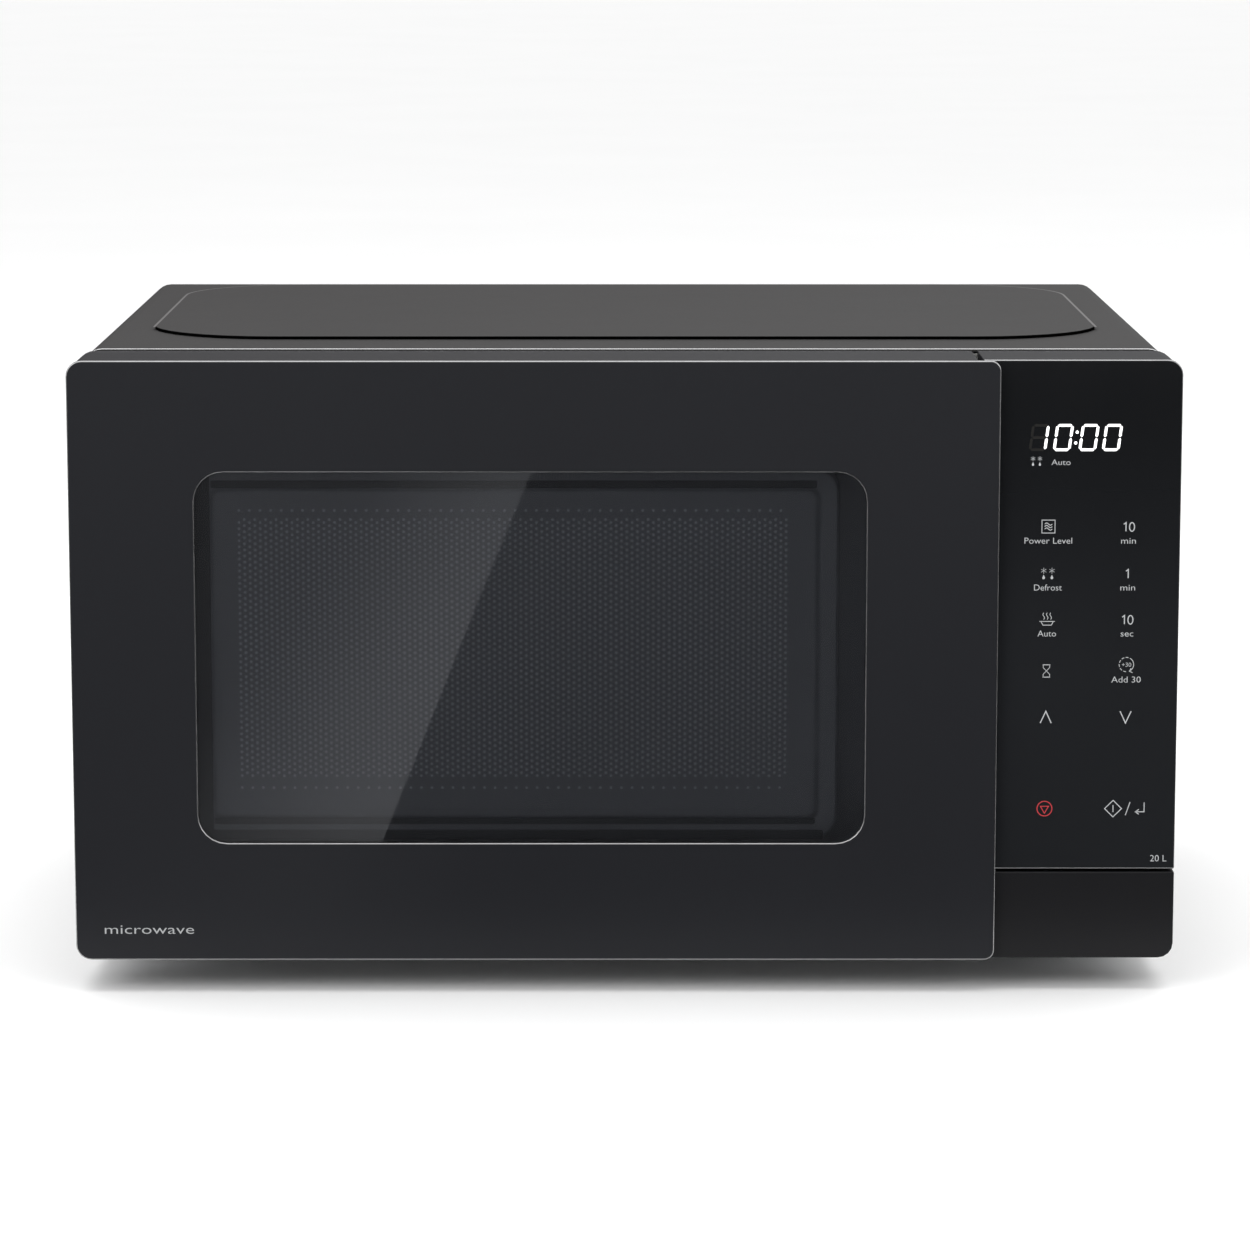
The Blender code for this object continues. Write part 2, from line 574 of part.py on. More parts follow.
def door_frame(door):
    """The door's moulded body: edge walls, a front wall, and a short tunnel round the window."""
    front, back = Y_DOOR_FRONT + 0.0033, Y_FRAME - 0.0005
    outline = rounded(FACE_LEFT, DOOR_BODY_RIGHT, FACE_BOTTOM, FACE_TOP, (0.0075, 0.002, 0.002, 0.0075), 6)
    frame = add("door_frame", prism(outline, "Y", front, back), "door_black", door)
    wall = 0.0025
    (x0, x1), (z0, z1) = TUNNEL_X, TUNNEL_Z
    tunnel = rounded(x0 - wall, x1 + wall, z0 - wall, z1 + wall, TUNNEL_R + wall)
    cut(frame, block((-0.2100, 0.1195), (front + 0.0025, -0.12), (0.0200, 0.2490)))
    weld_on(frame, prism(tunnel, "Y", front + 0.001, -0.1480))
    cut(
        frame,
        prism(rounded(*TUNNEL_X, *TUNNEL_Z, TUNNEL_R), "Y", -0.18, -0.14),
        block((0.1245, 0.1330), (-0.1460, -0.12), (0.0490, 0.2305)),
        block((-0.2100, 0.1390), (-0.1328, -0.12), (0.0195, 0.2495)),
        hinge_edge_cutter(),
    )
    for arm in HINGE_ARM_Z.values():
        cut(
            frame,
            block((-0.2300, -0.2095), (HINGE_Y - 0.0052, -0.12), (arm - 0.002, arm + 0.002)),
            cylinder(HINGE_BORE_R, -0.0078, 0.0078, (HINGE_X, HINGE_Y, arm), "Z", 16),
        )


def hinge_edge_cutter():
    """Takes the door's inner edge down to an arc round the hinge line, to turn clear of the frame."""
    arc = []
    for i in range(6):
        angle = math.radians(90 + 60 * i / 5)
        arc.append((HINGE_X + HINGE_SWEEP_R * math.cos(angle), HINGE_Y + HINGE_SWEEP_R * math.sin(angle)))
    outline = [(HINGE_X, -0.120)] + arc + [(-0.235, arc[-1][1]), (-0.235, -0.120)]
    return prism(outline, "Z", 0.0, 0.27)


def door_front(door):
    """Front cover with the window opening, and the smoked pane in its rebate."""
    outline = rounded(FACE_LEFT, DOOR_COVER_RIGHT, FACE_BOTTOM, FACE_TOP, (0.0063, 0.004, 0.004, 0.0063), 6)
    shape = prism(outline, "Y", Y_DOOR_FRONT, Y_DOOR_FRONT + 0.003)
    cover = add("door_front_cover", shape, "door_black", door)
    rebate, (x0, x1), (z0, z1) = 0.005, WINDOW_X, WINDOW_Z
    cut(
        cover,
        prism(rounded(x0, x1, z0, z1, WINDOW_R, 6), "Y", -0.2, -0.15),
        prism(
            rounded(x0 - rebate, x1 + rebate, z0 - rebate, z1 + rebate, WINDOW_R + rebate, 6),
            "Y", Y_DOOR_FRONT + 0.001, -0.15,
        ),
    )
    lap = rebate - 0.0004
    pane = rounded(x0 - lap, x1 + lap, z0 - lap, z1 + lap, WINDOW_R + lap, 6)
    add("window_pane", prism(pane, "Y", Y_DOOR_FRONT + 0.0013, Y_DOOR_FRONT + 0.003), "smoked_glass", door)


def door_inner(door):
    """Choke pan with the stamped screen panel, the film behind the screen, and the cover over the choke."""
    pan = add("choke_pan", block(PAN_X, (Y_PAN, -0.1332), PAN_Z), "screen_black", door)
    cut(pan, block(grown(PAN_X, -SHEET), (Y_PAN + SHEET, -0.12), grown(PAN_Z, -SHEET)))
    weld_on(pan, prism(rounded(*BULGE_X, *BULGE_Z, BULGE_R), "Y", Y_BULGE, Y_PAN + SHEET / 2))
    hollow = rounded(*grown(BULGE_X, -SHEET), *grown(BULGE_Z, -SHEET), BULGE_R - SHEET)
    cut(pan, prism(hollow, "Y", Y_BULGE + SHEET, -0.12))
    step = rounded(*grown(RECESS_X, SHEET), *grown(RECESS_Z, SHEET), RECESS_R + SHEET)
    weld_on(pan, prism(step, "Y", Y_BULGE + SHEET / 2, Y_SCREEN + SHEET))
    cut(pan, prism(rounded(*RECESS_X, *RECESS_Z, RECESS_R), "Y", -0.17, Y_SCREEN))
    film = rounded(*grown(RECESS_X, -0.002), *grown(RECESS_Z, -0.002), 0.002, 1)
    add("inner_film", prism(film, "Y", -0.1537, -0.1530), "clear_film", door)
    plate = prism(rounded(-0.2090, 0.1385, *PAN_Z, 0.006), "Y", -0.1325, -0.1305)
    cover = add("choke_cover", plate, "inner_plastic", door)
    cut(cover, prism(rounded(-0.1760, 0.0870, 0.0590, 0.2140, 0.010), "Y", -0.15, -0.12))
    slots = [((0.1245, 0.1330), (-0.15, -0.12), (tip - 0.0025, tip + 0.0145)) for tip in HOOK_TIP_Z.values()]
    cut(cover, blocks(slots))


def door_assembly():
    door = pivot_at("door_hinge", HINGE_X, HINGE_Y, (FACE_BOTTOM + FACE_TOP) / 2)
    door_frame(door)
    door_front(door)
    door_inner(door)
    latch_key(door)


# --- turntable ----------------------------------------------------------------------------------------------


def turntable():
    spin = pivot_at("turntable_spin", TURN_X, TURN_Y, CAVITY_Z[0])
    centre = (TURN_X, TURN_Y, 0)
    b = TRAY_BOTTOM
    tray = [
        (0, b), (0.028, b), (0.028, b - 0.0026), (0.032, b - 0.0026), (0.032, b), (0.118, b),
        (0.1262, b + 0.0064), (TRAY_R, b + 0.0144), (TRAY_R - 0.002, b + 0.0150),
        (0.1215, b + 0.0079), (0.1150, b + 0.005), (0, b + 0.005),
    ]
    add("glass_tray", turned(tray, centre, "Z", 48), "clear_glass", spin)
    shaft = cylinder(0.0070, 0.0285, 0.0360, centre, "Z", 20)
    coupler = add("turntable_coupler", shaft, "natural_plastic", spin)
    shaft = cylinder(0.0034, 0.0262, 0.0300, centre, "Z", 12)
    weld_on(coupler, shaft, prism(coupler_outline(), "Z", 0.0350, 0.0440))
    motor = add("turntable_motor", cylinder(0.0245, 0.0140, 0.0272, centre, "Z", 32), "galvanised")
    ears = block((TURN_X - 0.0340, TURN_X + 0.0340), (TURN_Y - 0.006, TURN_Y + 0.006), (0.0258, 0.0270))
    weld_on(motor, ears)
    cut(motor, cylinder(0.0042, 0.0255, 0.0300, centre, "Z", 12))


def coupler_outline():
    """Three lobes round a hub, seen from above."""
    hub, reach, half = 0.012, 0.024, 0.0045
    lobe = [(reach - 0.0015, -half), (reach, 0.0015 - half), (reach, half - 0.0015), (reach - 0.0015, half)]
    valley = [(hub * math.cos(math.radians(a)), hub * math.sin(math.radians(a))) for a in (24, 42, 60, 78, 96)]
    points = []
    for i in range(3):
        turn = Matrix.Rotation(math.radians(90 + 120 * i), 2)
        points += [turn @ Vector(point) + Vector((TURN_X, TURN_Y)) for point in lobe + valley]
    return [tuple(point) for point in points]


def roller_ring():
    """Support ring that runs round at half the tray's speed, on three wheels with radial axles."""
    spin = pivot_at("ring_spin", TURN_X, TURN_Y, CAVITY_Z[0])
    centre = Vector((TURN_X, TURN_Y, 0))
    inner, outer, low, high = 0.0840, 0.0880, WHEEL_Z - 0.0025, WHEEL_Z + 0.0025
    band = [(inner, low), (outer, low), (outer, high), (inner, high)]
    ring = add("roller_ring", turned(band, centre, "Z", 48), "natural_plastic", spin)
    near, far = WHEEL_TRACK
    bore, chamfer = AXLE_R + 0.0004, 0.0008
    wheel = [
        (bore, near), (WHEEL_R - chamfer, near), (WHEEL_R, near + chamfer),
        (WHEEL_R, far - chamfer), (WHEEL_R - chamfer, far), (bore, far),
    ]
    stop = far + 0.0004
    middle = Matrix.Translation(centre + Vector((0, 0, WHEEL_Z)))
    for i in range(3):
        outward = middle @ Matrix.Rotation(math.radians(90 + 120 * i), 4, "Z")
        axle = turned(
            [(0, outer - 0.0015), (AXLE_R, outer - 0.0015), (AXLE_R, stop), (0.0026, stop), (0.0026, stop + 0.0014),
             (0, stop + 0.0014)],
            (0, 0, 0), "X", 12,
        )
        axle.transform(outward)
        weld_on(ring, axle)
        rim = turned(wheel, (0, 0, 0), "X", 20)
        rim.transform(outward)
        hub = pivot_at(f"wheel_{i + 1}_roll", *(outward @ Vector(((near + far) / 2, 0, 0))))
        add(f"roller_wheel_{i + 1}", rim, "natural_plastic", hub)


# --- microwave source, cooling and supply -------------------------------------------------------------------


def waveguide():
    """Sheet duct from the magnetron's antenna to the mouth in the cavity wall, and the mouth's mica plate."""
    wall = CAVITY_X[1] + SHEET + GAP
    y, z = (-0.020, 0.085), (0.142, 0.225)
    duct = add("waveguide", block((wall, 0.1300), y, z), "galvanised")
    cut(
        duct,
        block((0.10, 0.1290), grown(y, -SHEET), grown(z, -SHEET)),
        cylinder(0.011, 0.12, 0.14, (0, ANTENNA_Y, ANTENNA_Z), "X", 20),
    )
    margin = 0.004
    (my0, my1), (mz0, mz1) = WAVE_MOUTH
    sheet = rounded(my0 - margin, my1 + margin, mz0 - margin, mz1 + margin, 0.003, 2)
    add("waveguide_cover", prism(sheet, "X", CAVITY_X[1] - 0.0010, CAVITY_X[1] - GAP), "mica")


def magnetron():
    x, y, z = (0.1305, 0.1905), (0.013, 0.097), (0.143, 0.223)
    wall = 0.0015
    yoke = add("magnetron_yoke", block(x, y, z), "galvanised")
    cut(
        yoke,
        block(grown(x, -wall), (-0.05, 0.15), grown(z, -wall)),
        cylinder(0.0090, 0.12, 0.135, (0, ANTENNA_Y, ANTENNA_Z), "X", 20),
        cylinder(0.0120, 0.185, 0.20, (0, ANTENNA_Y, ANTENNA_Z), "X", 20),
    )
    centre = (0, ANTENNA_Y, ANTENNA_Z)
    tube = add("magnetron_tube", cylinder(0.018, x[0] + 0.003, x[1] - 0.003, centre, "X", 20), "aluminium")
    weld_on(
        tube,
        cylinder(0.008, 0.1140, x[0] + 0.010, centre, "X", 16),
        cylinder(0.010, x[1] - 0.010, x[1] + 0.003, centre, "X", 16),
    )
    for i in range(5):
        fin = x[0] + 0.011 + 0.009 * i
        weld_on(tube, block((fin, fin + 0.001), grown(y, -0.002), grown(z, -0.003)))
    filter_box = add("magnetron_filter", block((0.1912, 0.2120), (0.030, 0.080), (0.158, 0.208)), "galvanised")
    cut(filter_box, cylinder(0.0115, 0.18, 0.2100, centre, "X", 20))


def transformer():
    """Shell-type core with two windows, and the coil round its middle limb."""
    core = add("transformer_core", block((0.1200, 0.2050), (-0.0350, 0.0270), (0.0150, 0.0810)), "lamination")
    windows = ((0.1345, 0.1490), (0.1760, 0.1905))
    cut(core, blocks([(x, (-0.06, 0.06), (0.029, 0.067)) for x in windows]))
    coil_box = rounded(0.1350, 0.1900, -0.0520, 0.0440, 0.006)
    winding = add("transformer_winding", prism(coil_box, "Z", 0.0300, 0.0660), "copper")
    cut(winding, block((0.1485, 0.1765), (-0.0355, 0.0275), (0.02, 0.08)))


def capacitor():
    oval = rounded(0.1300, 0.1850, 0.0750, 0.1070, 0.0155, 6)
    can = add("hv_capacitor", prism(oval, "Z", 0.0150, 0.0900), "aluminium")
    weld_on(can, *(block((x, x + 0.007), (0.0905, 0.0915), (0.089, 0.097)) for x in (0.143, 0.165)))


def fan():
    centre = (FAN_X, 0, FAN_Z)
    plate = (0.1360, 0.1375)
    shroud = add("fan_shroud", block((0.1125, 0.2145), plate, (0.0900, 0.2000)), "natural_plastic")
    weld_on(shroud, cylinder(SHROUD_R + 0.0025, plate[0] + 0.0003, 0.1600, centre, "Y", 32))
    cut(shroud, cylinder(SHROUD_R, 0.12, 0.17, centre, "Y", 32))
    reach = SHROUD_R + 0.0003
    struts = [
        block((FAN_X - reach, FAN_X + reach), (0.1300, 0.1370), (z, z + 0.006))
        for z in (FAN_Z - 0.0205, FAN_Z + 0.0140)
    ]
    weld_on(shroud, *struts)
    stack = block((FAN_X - 0.025, FAN_X + 0.025), (0.1080, 0.1260), (FAN_Z - 0.042, FAN_Z + 0.022))
    motor = add("fan_motor", stack, "lamination")
    weld_on(
        motor,
        block((FAN_X - 0.014, FAN_X + 0.014), (0.1020, 0.1290), (FAN_Z - 0.041, FAN_Z - 0.022)),
        cylinder(0.010, 0.1020, 0.1290, centre, "Y", 16),
    )
    cut(motor, cylinder(0.0024, 0.110, 0.140, centre, "Y", 12))
    spin = pivot_at("fan_spin", FAN_X, 0.149, FAN_Z)
    blade = add("fan_blade", cylinder(0.011, 0.1410, 0.1575, centre, "Y", 20), "white_plastic", spin)
    weld_on(blade, cylinder(0.0020, 0.1120, 0.1420, centre, "Y", 12))
    for i in range(5):
        vane = block((0.009, FAN_R - 0.001), (-0.0005, 0.0005), (-0.013, 0.013))
        turn = Matrix.Rotation(math.radians(72 * i), 4, "Y") @ Matrix.Rotation(math.radians(62), 4, "X")
        vane.transform(Matrix.Translation((FAN_X, 0.1495, FAN_Z)) @ turn)
        weld_on(blade, vane)


def small_electrics():
    board = add("noise_filter_board", block((0.140, 0.210), (-0.120, -0.055), (0.2290, 0.2306)), "board_green")
    weld_on(
        board,
        block((0.150, 0.172), (-0.088, -0.066), (0.2120, 0.2295)),
        block((0.182, 0.202), (-0.082, -0.062), (0.2160, 0.2295)),
        block((0.178, 0.205), (-0.112, -0.104), (0.2200, 0.2295)),
    )
    (y0, y1), (z0, z1) = LAMP_HOLE
    middle = ((y0 + y1) / 2, (z0 + z1) / 2)
    add("lamp_holder", block((0.1253, 0.1330), (y0, y1), (z0 + 0.001, z1 - 0.001)), "white_plastic")
    bulb = [(0, 0), (0.0045, 0.0015), (0.0065, 0.0050), (0.0055, 0.0095), (0.0045, 0.0130), (0, 0.0130)]
    add("cavity_lamp", turned(bulb, (0.1118, *middle), "X", 16), "clear_glass")
    top = CAVITY_Z[1] + SHEET + GAP
    cutout = add("thermal_cutout", cylinder(0.008, top, top + 0.010, (0.040, 0.060, 0), "Z", 20), "switch_black")
    weld_on(cutout, block((0.028, 0.052), (0.055, 0.065), (top, top + 0.0012)))


def main():
    clear_scene()
    outer_wrap()
    back_panel()
    cord_gland()
    base_plate()
    feet()
    wrap_screws()
    front_frame()
    cavity_liner()
    hinges()
    control_housing()
    control_fascia()
    control_electronics()
    release_button()
    release_lever()
    latch_board()
    door_switches()
    door_assembly()
    turntable()
    roller_ring()
    waveguide()
    magnetron()
    transformer()
    capacitor()
    fan()
    small_electrics()


main()
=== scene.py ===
"""Looks of the countertop microwave oven: finishes for its sheet metal, mouldings and glass, the
perforated door screen, the touch legends, the lit display, and a plain studio. Every piece is in
metres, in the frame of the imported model."""

import math

import bmesh
import bpy
from bpy.props import FloatProperty, FloatVectorProperty, IntProperty, PointerProperty
from mathutils import Matrix, Vector


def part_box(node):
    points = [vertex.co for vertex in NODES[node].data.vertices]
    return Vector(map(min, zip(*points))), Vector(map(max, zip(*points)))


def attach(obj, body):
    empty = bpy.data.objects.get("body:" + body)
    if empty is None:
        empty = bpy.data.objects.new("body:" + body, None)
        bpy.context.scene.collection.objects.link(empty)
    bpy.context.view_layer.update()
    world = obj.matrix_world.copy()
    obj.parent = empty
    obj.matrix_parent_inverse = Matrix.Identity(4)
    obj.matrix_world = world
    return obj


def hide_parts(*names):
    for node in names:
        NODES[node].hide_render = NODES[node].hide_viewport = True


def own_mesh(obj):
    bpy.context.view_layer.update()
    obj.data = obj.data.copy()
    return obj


bl_info = {
    "name": "Countertop Microwave Oven",
    "version": (1, 0, 0),
    "blender": (4, 5, 0),
    "location": "3D View > Sidebar > Oven",
    "description": "Finishes and details for a microwave oven, and the studio it stands in",
    "category": "Object",
}

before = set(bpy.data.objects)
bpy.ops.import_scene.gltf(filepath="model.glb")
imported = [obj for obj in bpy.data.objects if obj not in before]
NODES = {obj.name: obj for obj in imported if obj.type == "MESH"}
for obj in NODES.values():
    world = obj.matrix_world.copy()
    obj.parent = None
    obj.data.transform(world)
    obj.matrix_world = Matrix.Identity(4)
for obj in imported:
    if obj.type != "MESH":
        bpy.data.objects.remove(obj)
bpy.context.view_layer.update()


# --- what a user can change --------------------------------------------------------------------


def colour_property(name, description, default):
    return FloatVectorProperty(
        name=name, description=description, default=default, subtype="COLOR", min=0.0, max=1.0
    )


def length_property(name, description, default):
    return FloatProperty(
        name=name, description=description, default=default, unit="LENGTH", min=0.0, precision=5
    )


def share_property(name, description, default):
    return FloatProperty(
        name=name, description=description, default=default, subtype="FACTOR", min=0.0, max=1.0
    )


class OvenColours(bpy.types.PropertyGroup):
    """Colours of the oven's finishes, as linear values."""

    wrap: colour_property("Outer wrap", "Powder paint of top and sides", (0.022, 0.0212, 0.0212))
    door: colour_property("Door", "Moulded front of the door", (0.0118, 0.0124, 0.0149))
    fascia: colour_property("Fascia", "Glossy touch fascia", (0.0104, 0.0111, 0.0124))
    button: colour_property("Door button", "Wide key under the fascia", (0.0086, 0.0086, 0.0097))
    screen: colour_property("Screen", "Paint of the pierced sheet", (0.083, 0.086, 0.0945))
    enamel: colour_property("Cavity", "Enamel of the cooking cavity", (0.40, 0.40, 0.385))
    ink: colour_property("Legends", "Print on the fascia", (0.42, 0.43, 0.44))
    stop: colour_property("Stop sign", "Red print of the stop sign", (0.45, 0.022, 0.030))
    # painted highlight: colour of the bright chamfers and of the wrap's hem
    edge: colour_property("Edges", "Bright chamfers of the front", (0.36, 0.36, 0.365))
    lit: colour_property("Lit digits", "Light of the display's digits", (1.0, 1.0, 1.0))


class OvenSizes(bpy.types.PropertyGroup):
    """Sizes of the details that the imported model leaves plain."""

    edge: length_property("Edge radius", "Rounding of sheet and moulded edges", 0.0005)
    hole_pitch: length_property("Screen pitch", "Distance from hole to hole", 0.00246)
    hole_radius: length_property("Screen hole radius", "Radius of the screen's holes", 0.00062)
    digit_height: length_property("Digit height", "Height of the display's digits", 0.0108)
    turned_steps: IntProperty(
        name="Turned steps", description="Facets round a turned piece", default=96, min=12, max=256
    )
    pane_tint: share_property("Pane tint", "Light that each face of the pane lets through", 0.80)
    pane_haze: share_property("Pane haze", "Light that each face of the pane scatters", 0.016)


def colours():
    return bpy.context.scene.oven_colours


def sizes():
    return bpy.context.scene.oven_sizes


# --- shader maths ------------------------------------------------------------------------------


class Value:
    """A node's output. Arithmetic on it adds Math nodes, and for vectors Vector Math nodes."""

    def __init__(self, shader, socket):
        self.shader = shader
        self.socket = socket

    def _maths(self, operation, first, second):
        kind = "ShaderNodeMath" if self.socket.type == "VALUE" else "ShaderNodeVectorMath"
        return self.shader.node(kind, {"operation": operation}, {0: first, 1: second})

    def __add__(self, other):
        return self._maths("ADD", self, other)

    def __radd__(self, other):
        return self._maths("ADD", other, self)

    def __sub__(self, other):
        return self._maths("SUBTRACT", self, other)

    def __rsub__(self, other):
        return self._maths("SUBTRACT", other, self)

    def __mul__(self, other):
        return self._maths("MULTIPLY", self, other)

    def __rmul__(self, other):
        return self._maths("MULTIPLY", other, self)

    def smooth(self, low, high):
        """0 below low, 1 above high, and a soft step between them."""
        return self.shader.node(
            "ShaderNodeMapRange", {"interpolation_type": "SMOOTHSTEP"},
            {"Value": self, "From Min": low, "From Max": high},
        )


class Shader:
    """A material's node tree, built up from its Principled shader."""

    def __init__(self, name, colour=(0.8, 0.8, 0.8), **constants):
        self.material = bpy.data.materials.new(name)
        self.material.use_nodes = True
        self.tree = self.material.node_tree
        self.principled = self.tree.nodes["Principled BSDF"]
        self.body = Value(self, self.principled.outputs[0])
        self.set(Base_Color=colour, **constants)

    def node(self, kind, settings=None, inputs=None, output=0):
        """Adds a node, sets it, and feeds its sockets. Returns the output asked for."""
        made = self.tree.nodes.new(kind)
        for name, value in (settings or {}).items():
            setattr(made, name, value)
        for name, value in (inputs or {}).items():
            self._feed(made.inputs[name], value)
        return Value(self, made.outputs[output])

    def _feed(self, socket, value):
        if isinstance(value, Value):
            self.tree.links.new(value.socket, socket)
        else:
            socket.default_value = (*value, 1.0) if socket.type == "RGBA" else value

    def set(self, **sockets):
        """Feeds the Principled shader's sockets, with underscores for the spaces in their names."""
        for name, value in sockets.items():
            self._feed(self.principled.inputs[name.replace("_", " ")], value)

    def place(self):
        """The point on the piece, in metres."""
        return self.node("ShaderNodeTexCoord", output="Object")

    def across(self, axis):
        """One coordinate of that point."""
        return self.node("ShaderNodeSeparateXYZ", inputs={0: self.place()}, output=axis)

    def noise(self, per_metre, detail=3.0, roughness=0.55, stretch=None):
        at = self.place() * stretch if stretch else self.place()
        inputs = {"Vector": at, "Scale": per_metre, "Detail": detail, "Roughness": roughness}
        return self.node("ShaderNodeTexNoise", inputs=inputs)

    def cells(self, per_metre, output="Distance"):
        inputs = {"Vector": self.place(), "Scale": per_metre}
        return self.node("ShaderNodeTexVoronoi", inputs=inputs, output=output)

    def flakes(self, per_metre):
        """Cells of an even tone each."""
        return self.node("ShaderNodeSeparateColor", inputs={0: self.cells(per_metre, "Color")})

    def bands(self, per_metre, axis, distortion, **inputs):
        """Even bands that follow each other along an axis."""
        return self.node(
            "ShaderNodeTexWave", {"wave_type": "BANDS", "bands_direction": axis},
            {"Vector": self.place(), "Scale": per_metre, "Distortion": distortion, **inputs}, "Fac",
        )

    def mix(self, share, first, second):
        """Two colours, in the share given."""
        colour_result = 2
        return self.node(
            "ShaderNodeMix", {"data_type": "RGBA"}, {0: share, 6: first, 7: second}, colour_result
        )

    def tones(self, share, colour, low, high):
        """One colour, between two factors of it."""
        return self.mix(share, shade(colour, low), shade(colour, high))

    def coat(self, base, roughness=None, bump=None):
        """Feeds the colour, the roughness, and a bump of (height, range in metres, strength)."""
        self.set(Base_Color=base)
        if roughness is not None:
            self.set(Roughness=roughness)
        if bump:
            inputs = dict(zip(("Height", "Distance", "Strength"), bump))
            self.set(Normal=self.node("ShaderNodeBump", inputs=inputs))
        return self.material

    def see_through(self, colour):
        return self.node("ShaderNodeBsdfTransparent", inputs={"Color": colour})

    def blend(self, share, first, second):
        """Two shaders, in the share given."""
        return self.node("ShaderNodeMixShader", inputs={0: share, 1: first, 2: second})

    def surface(self, value):
        """Shows that shader in place of the Principled one alone."""
        self.tree.links.new(value.socket, self.tree.nodes["Material Output"].inputs["Surface"])
        return self.material


def shade(colour, factor):
    return tuple(c * factor for c in colour)


# --- finishes ----------------------------------------------------------------------------------


def powder_paint(name, colour, roughness, sheen=0.5, grain=700.0, depth=0.00006):
    """Sprayed powder paint: orange peel, a faint mottle, and dust that dulls it in places."""
    s = Shader(name, Specular_IOR_Level=sheen)
    peel = s.noise(grain, 2.0)
    mottle = s.noise(9.0, 4.0)
    speck = s.cells(2600.0).smooth(0.25, 0.05)
    return s.coat(
        s.mix(speck * 0.35, s.tones(mottle, colour, 0.86, 1.16), shade(colour, 1.9)),
        roughness - 0.05 + mottle * 0.10 + peel * 0.04,
        (peel + speck * 0.25, depth, 0.55),
    )


def moulded(name, colour, roughness, sheen=0.5, wear=0.05, grain=2400.0, depth=0.00002):
    """Injection-moulded plastic: a spark-eroded grain, and long soft flow marks in its sheen."""
    s = Shader(name, Specular_IOR_Level=sheen)
    flow = s.noise(7.0, 3.0, stretch=(1.0, 1.0, 0.35))
    rub = s.noise(55.0, 5.0, 0.7).smooth(0.58, 0.80)
    return s.coat(
        s.mix(rub * wear, s.tones(flow, colour, 0.92, 1.10), shade(colour, 2.0)),
        roughness - 0.03 + flow * 0.06 + rub * wear * 0.6,
        (s.noise(grain, 2.0, 0.6), depth, 0.5),
    )


def touch_sheet(name, colour):
    """Glossy printed sheet with trails from wiping. Its colour darkens towards the top: a painted
    shade.
    """
    s = Shader(name, Specular_IOR_Level=0.32)
    # painted shade: the fascia's colour darkens towards its top
    painted_top_shade = s.across("Z").smooth(0.125, 0.250)
    trails = s.noise(26.0, 4.0, 0.65, stretch=(1.0, 1.0, 0.3))
    return s.coat(
        s.mix(painted_top_shade, s.tones(trails, colour, 1.04, 1.20), shade(colour, 0.62)),
        0.07 + trails * 0.04,
        (s.noise(500.0, 2.0, 0.6), 0.000004, 0.5),
    )


def zinc_sheet(name, colour=(0.50, 0.51, 0.52), white_rust=(0.62, 0.62, 0.61)):
    """Galvanised sheet: crystal spangle with a rolled grain across it."""
    s = Shader(name, Metallic=1.0)
    spangle = s.flakes(150.0)
    rolled = s.noise(260.0, 4.0, 0.7, stretch=(0.05, 1.0, 1.0))
    rust = s.noise(14.0, 6.0, 0.7).smooth(0.60, 0.82)
    metal = s.tones(spangle * 0.6 + rolled * 0.3, colour, 0.78, 1.18)
    return s.coat(
        s.mix(rust * 0.35, metal, white_rust),
        0.28 + spangle * 0.16 + rolled * 0.10 + rust * 0.15,
        (rolled + spangle * 0.5, 0.00003, 0.4),
    )


def bright_steel(name, colour=(0.60, 0.60, 0.61), roughness=0.26):
    """Plain drawn or turned metal, with fine tool marks."""
    s = Shader(name, Metallic=1.0)
    marks = s.noise(1800.0, 3.0, 0.7, stretch=(1.0, 1.0, 0.2))
    stain = s.noise(90.0, 4.0)
    return s.coat(
        s.tones(stain, colour, 0.85, 1.10),
        roughness - 0.04 + marks * 0.12 + stain * 0.06,
        (marks, 0.00001, 0.5),
    )


def edge_highlight_paint(name, colour):
    """Painted highlight for the chamfer of a moulding or a sheet: bright metal in place of the
    light that the edge catches, rubbed a little by hands.
    """
    s = Shader(name, Metallic=1.0)
    rubbed = s.noise(160.0, 4.0)
    return s.coat(s.tones(rubbed, colour, 0.85, 1.15), 0.18 + rubbed * 0.10)


def milky_film(name):
    """Thin pale sheet behind the screen, which lights up the holes. The cavity shows a little."""
    s = Shader(name, Roughness=0.5)
    clouds = s.noise(30.0, 3.0)
    s.coat(s.mix(clouds, (0.26, 0.27, 0.285), (0.33, 0.34, 0.36)))
    return s.surface(s.blend(0.72 + clouds * 0.1, s.see_through((0.9, 0.9, 0.9)), s.body))


def clear_film(name):
    """Thin clear sheet that covers the screen on the cavity side, slightly milky."""
    s = Shader(name, (0.30, 0.31, 0.33), Roughness=0.25)
    milky = 0.32 + s.noise(40.0, 4.0) * 0.10
    return s.surface(s.blend(milky, s.see_through((0.80, 0.81, 0.83)), s.body))


def smoked_pane(name, let_through, haze):
    """Smoked window sheet. It tints what is behind it, mirrors by its angle, and has a haze."""
    s = Shader(name, (0.008, 0.008, 0.009), Roughness=0.03)
    wiped = s.noise(30.0, 5.0, 0.65, stretch=(1.0, 1.0, 0.25)).smooth(0.45, 0.80)
    tint = s.see_through(shade((0.97, 0.98, 1.0), let_through))
    milk = s.node("ShaderNodeBsdfDiffuse", inputs={"Color": (0.30, 0.31, 0.34)})
    gloss = s.node("ShaderNodeBsdfGlossy", inputs={"Color": (1.0, 1.0, 1.0), "Roughness": 0.015})
    mirror = s.node("ShaderNodeFresnel", inputs={"IOR": 1.45})
    return s.surface(s.blend(mirror, s.blend(haze + wiped * 0.004, tint, milk), gloss))


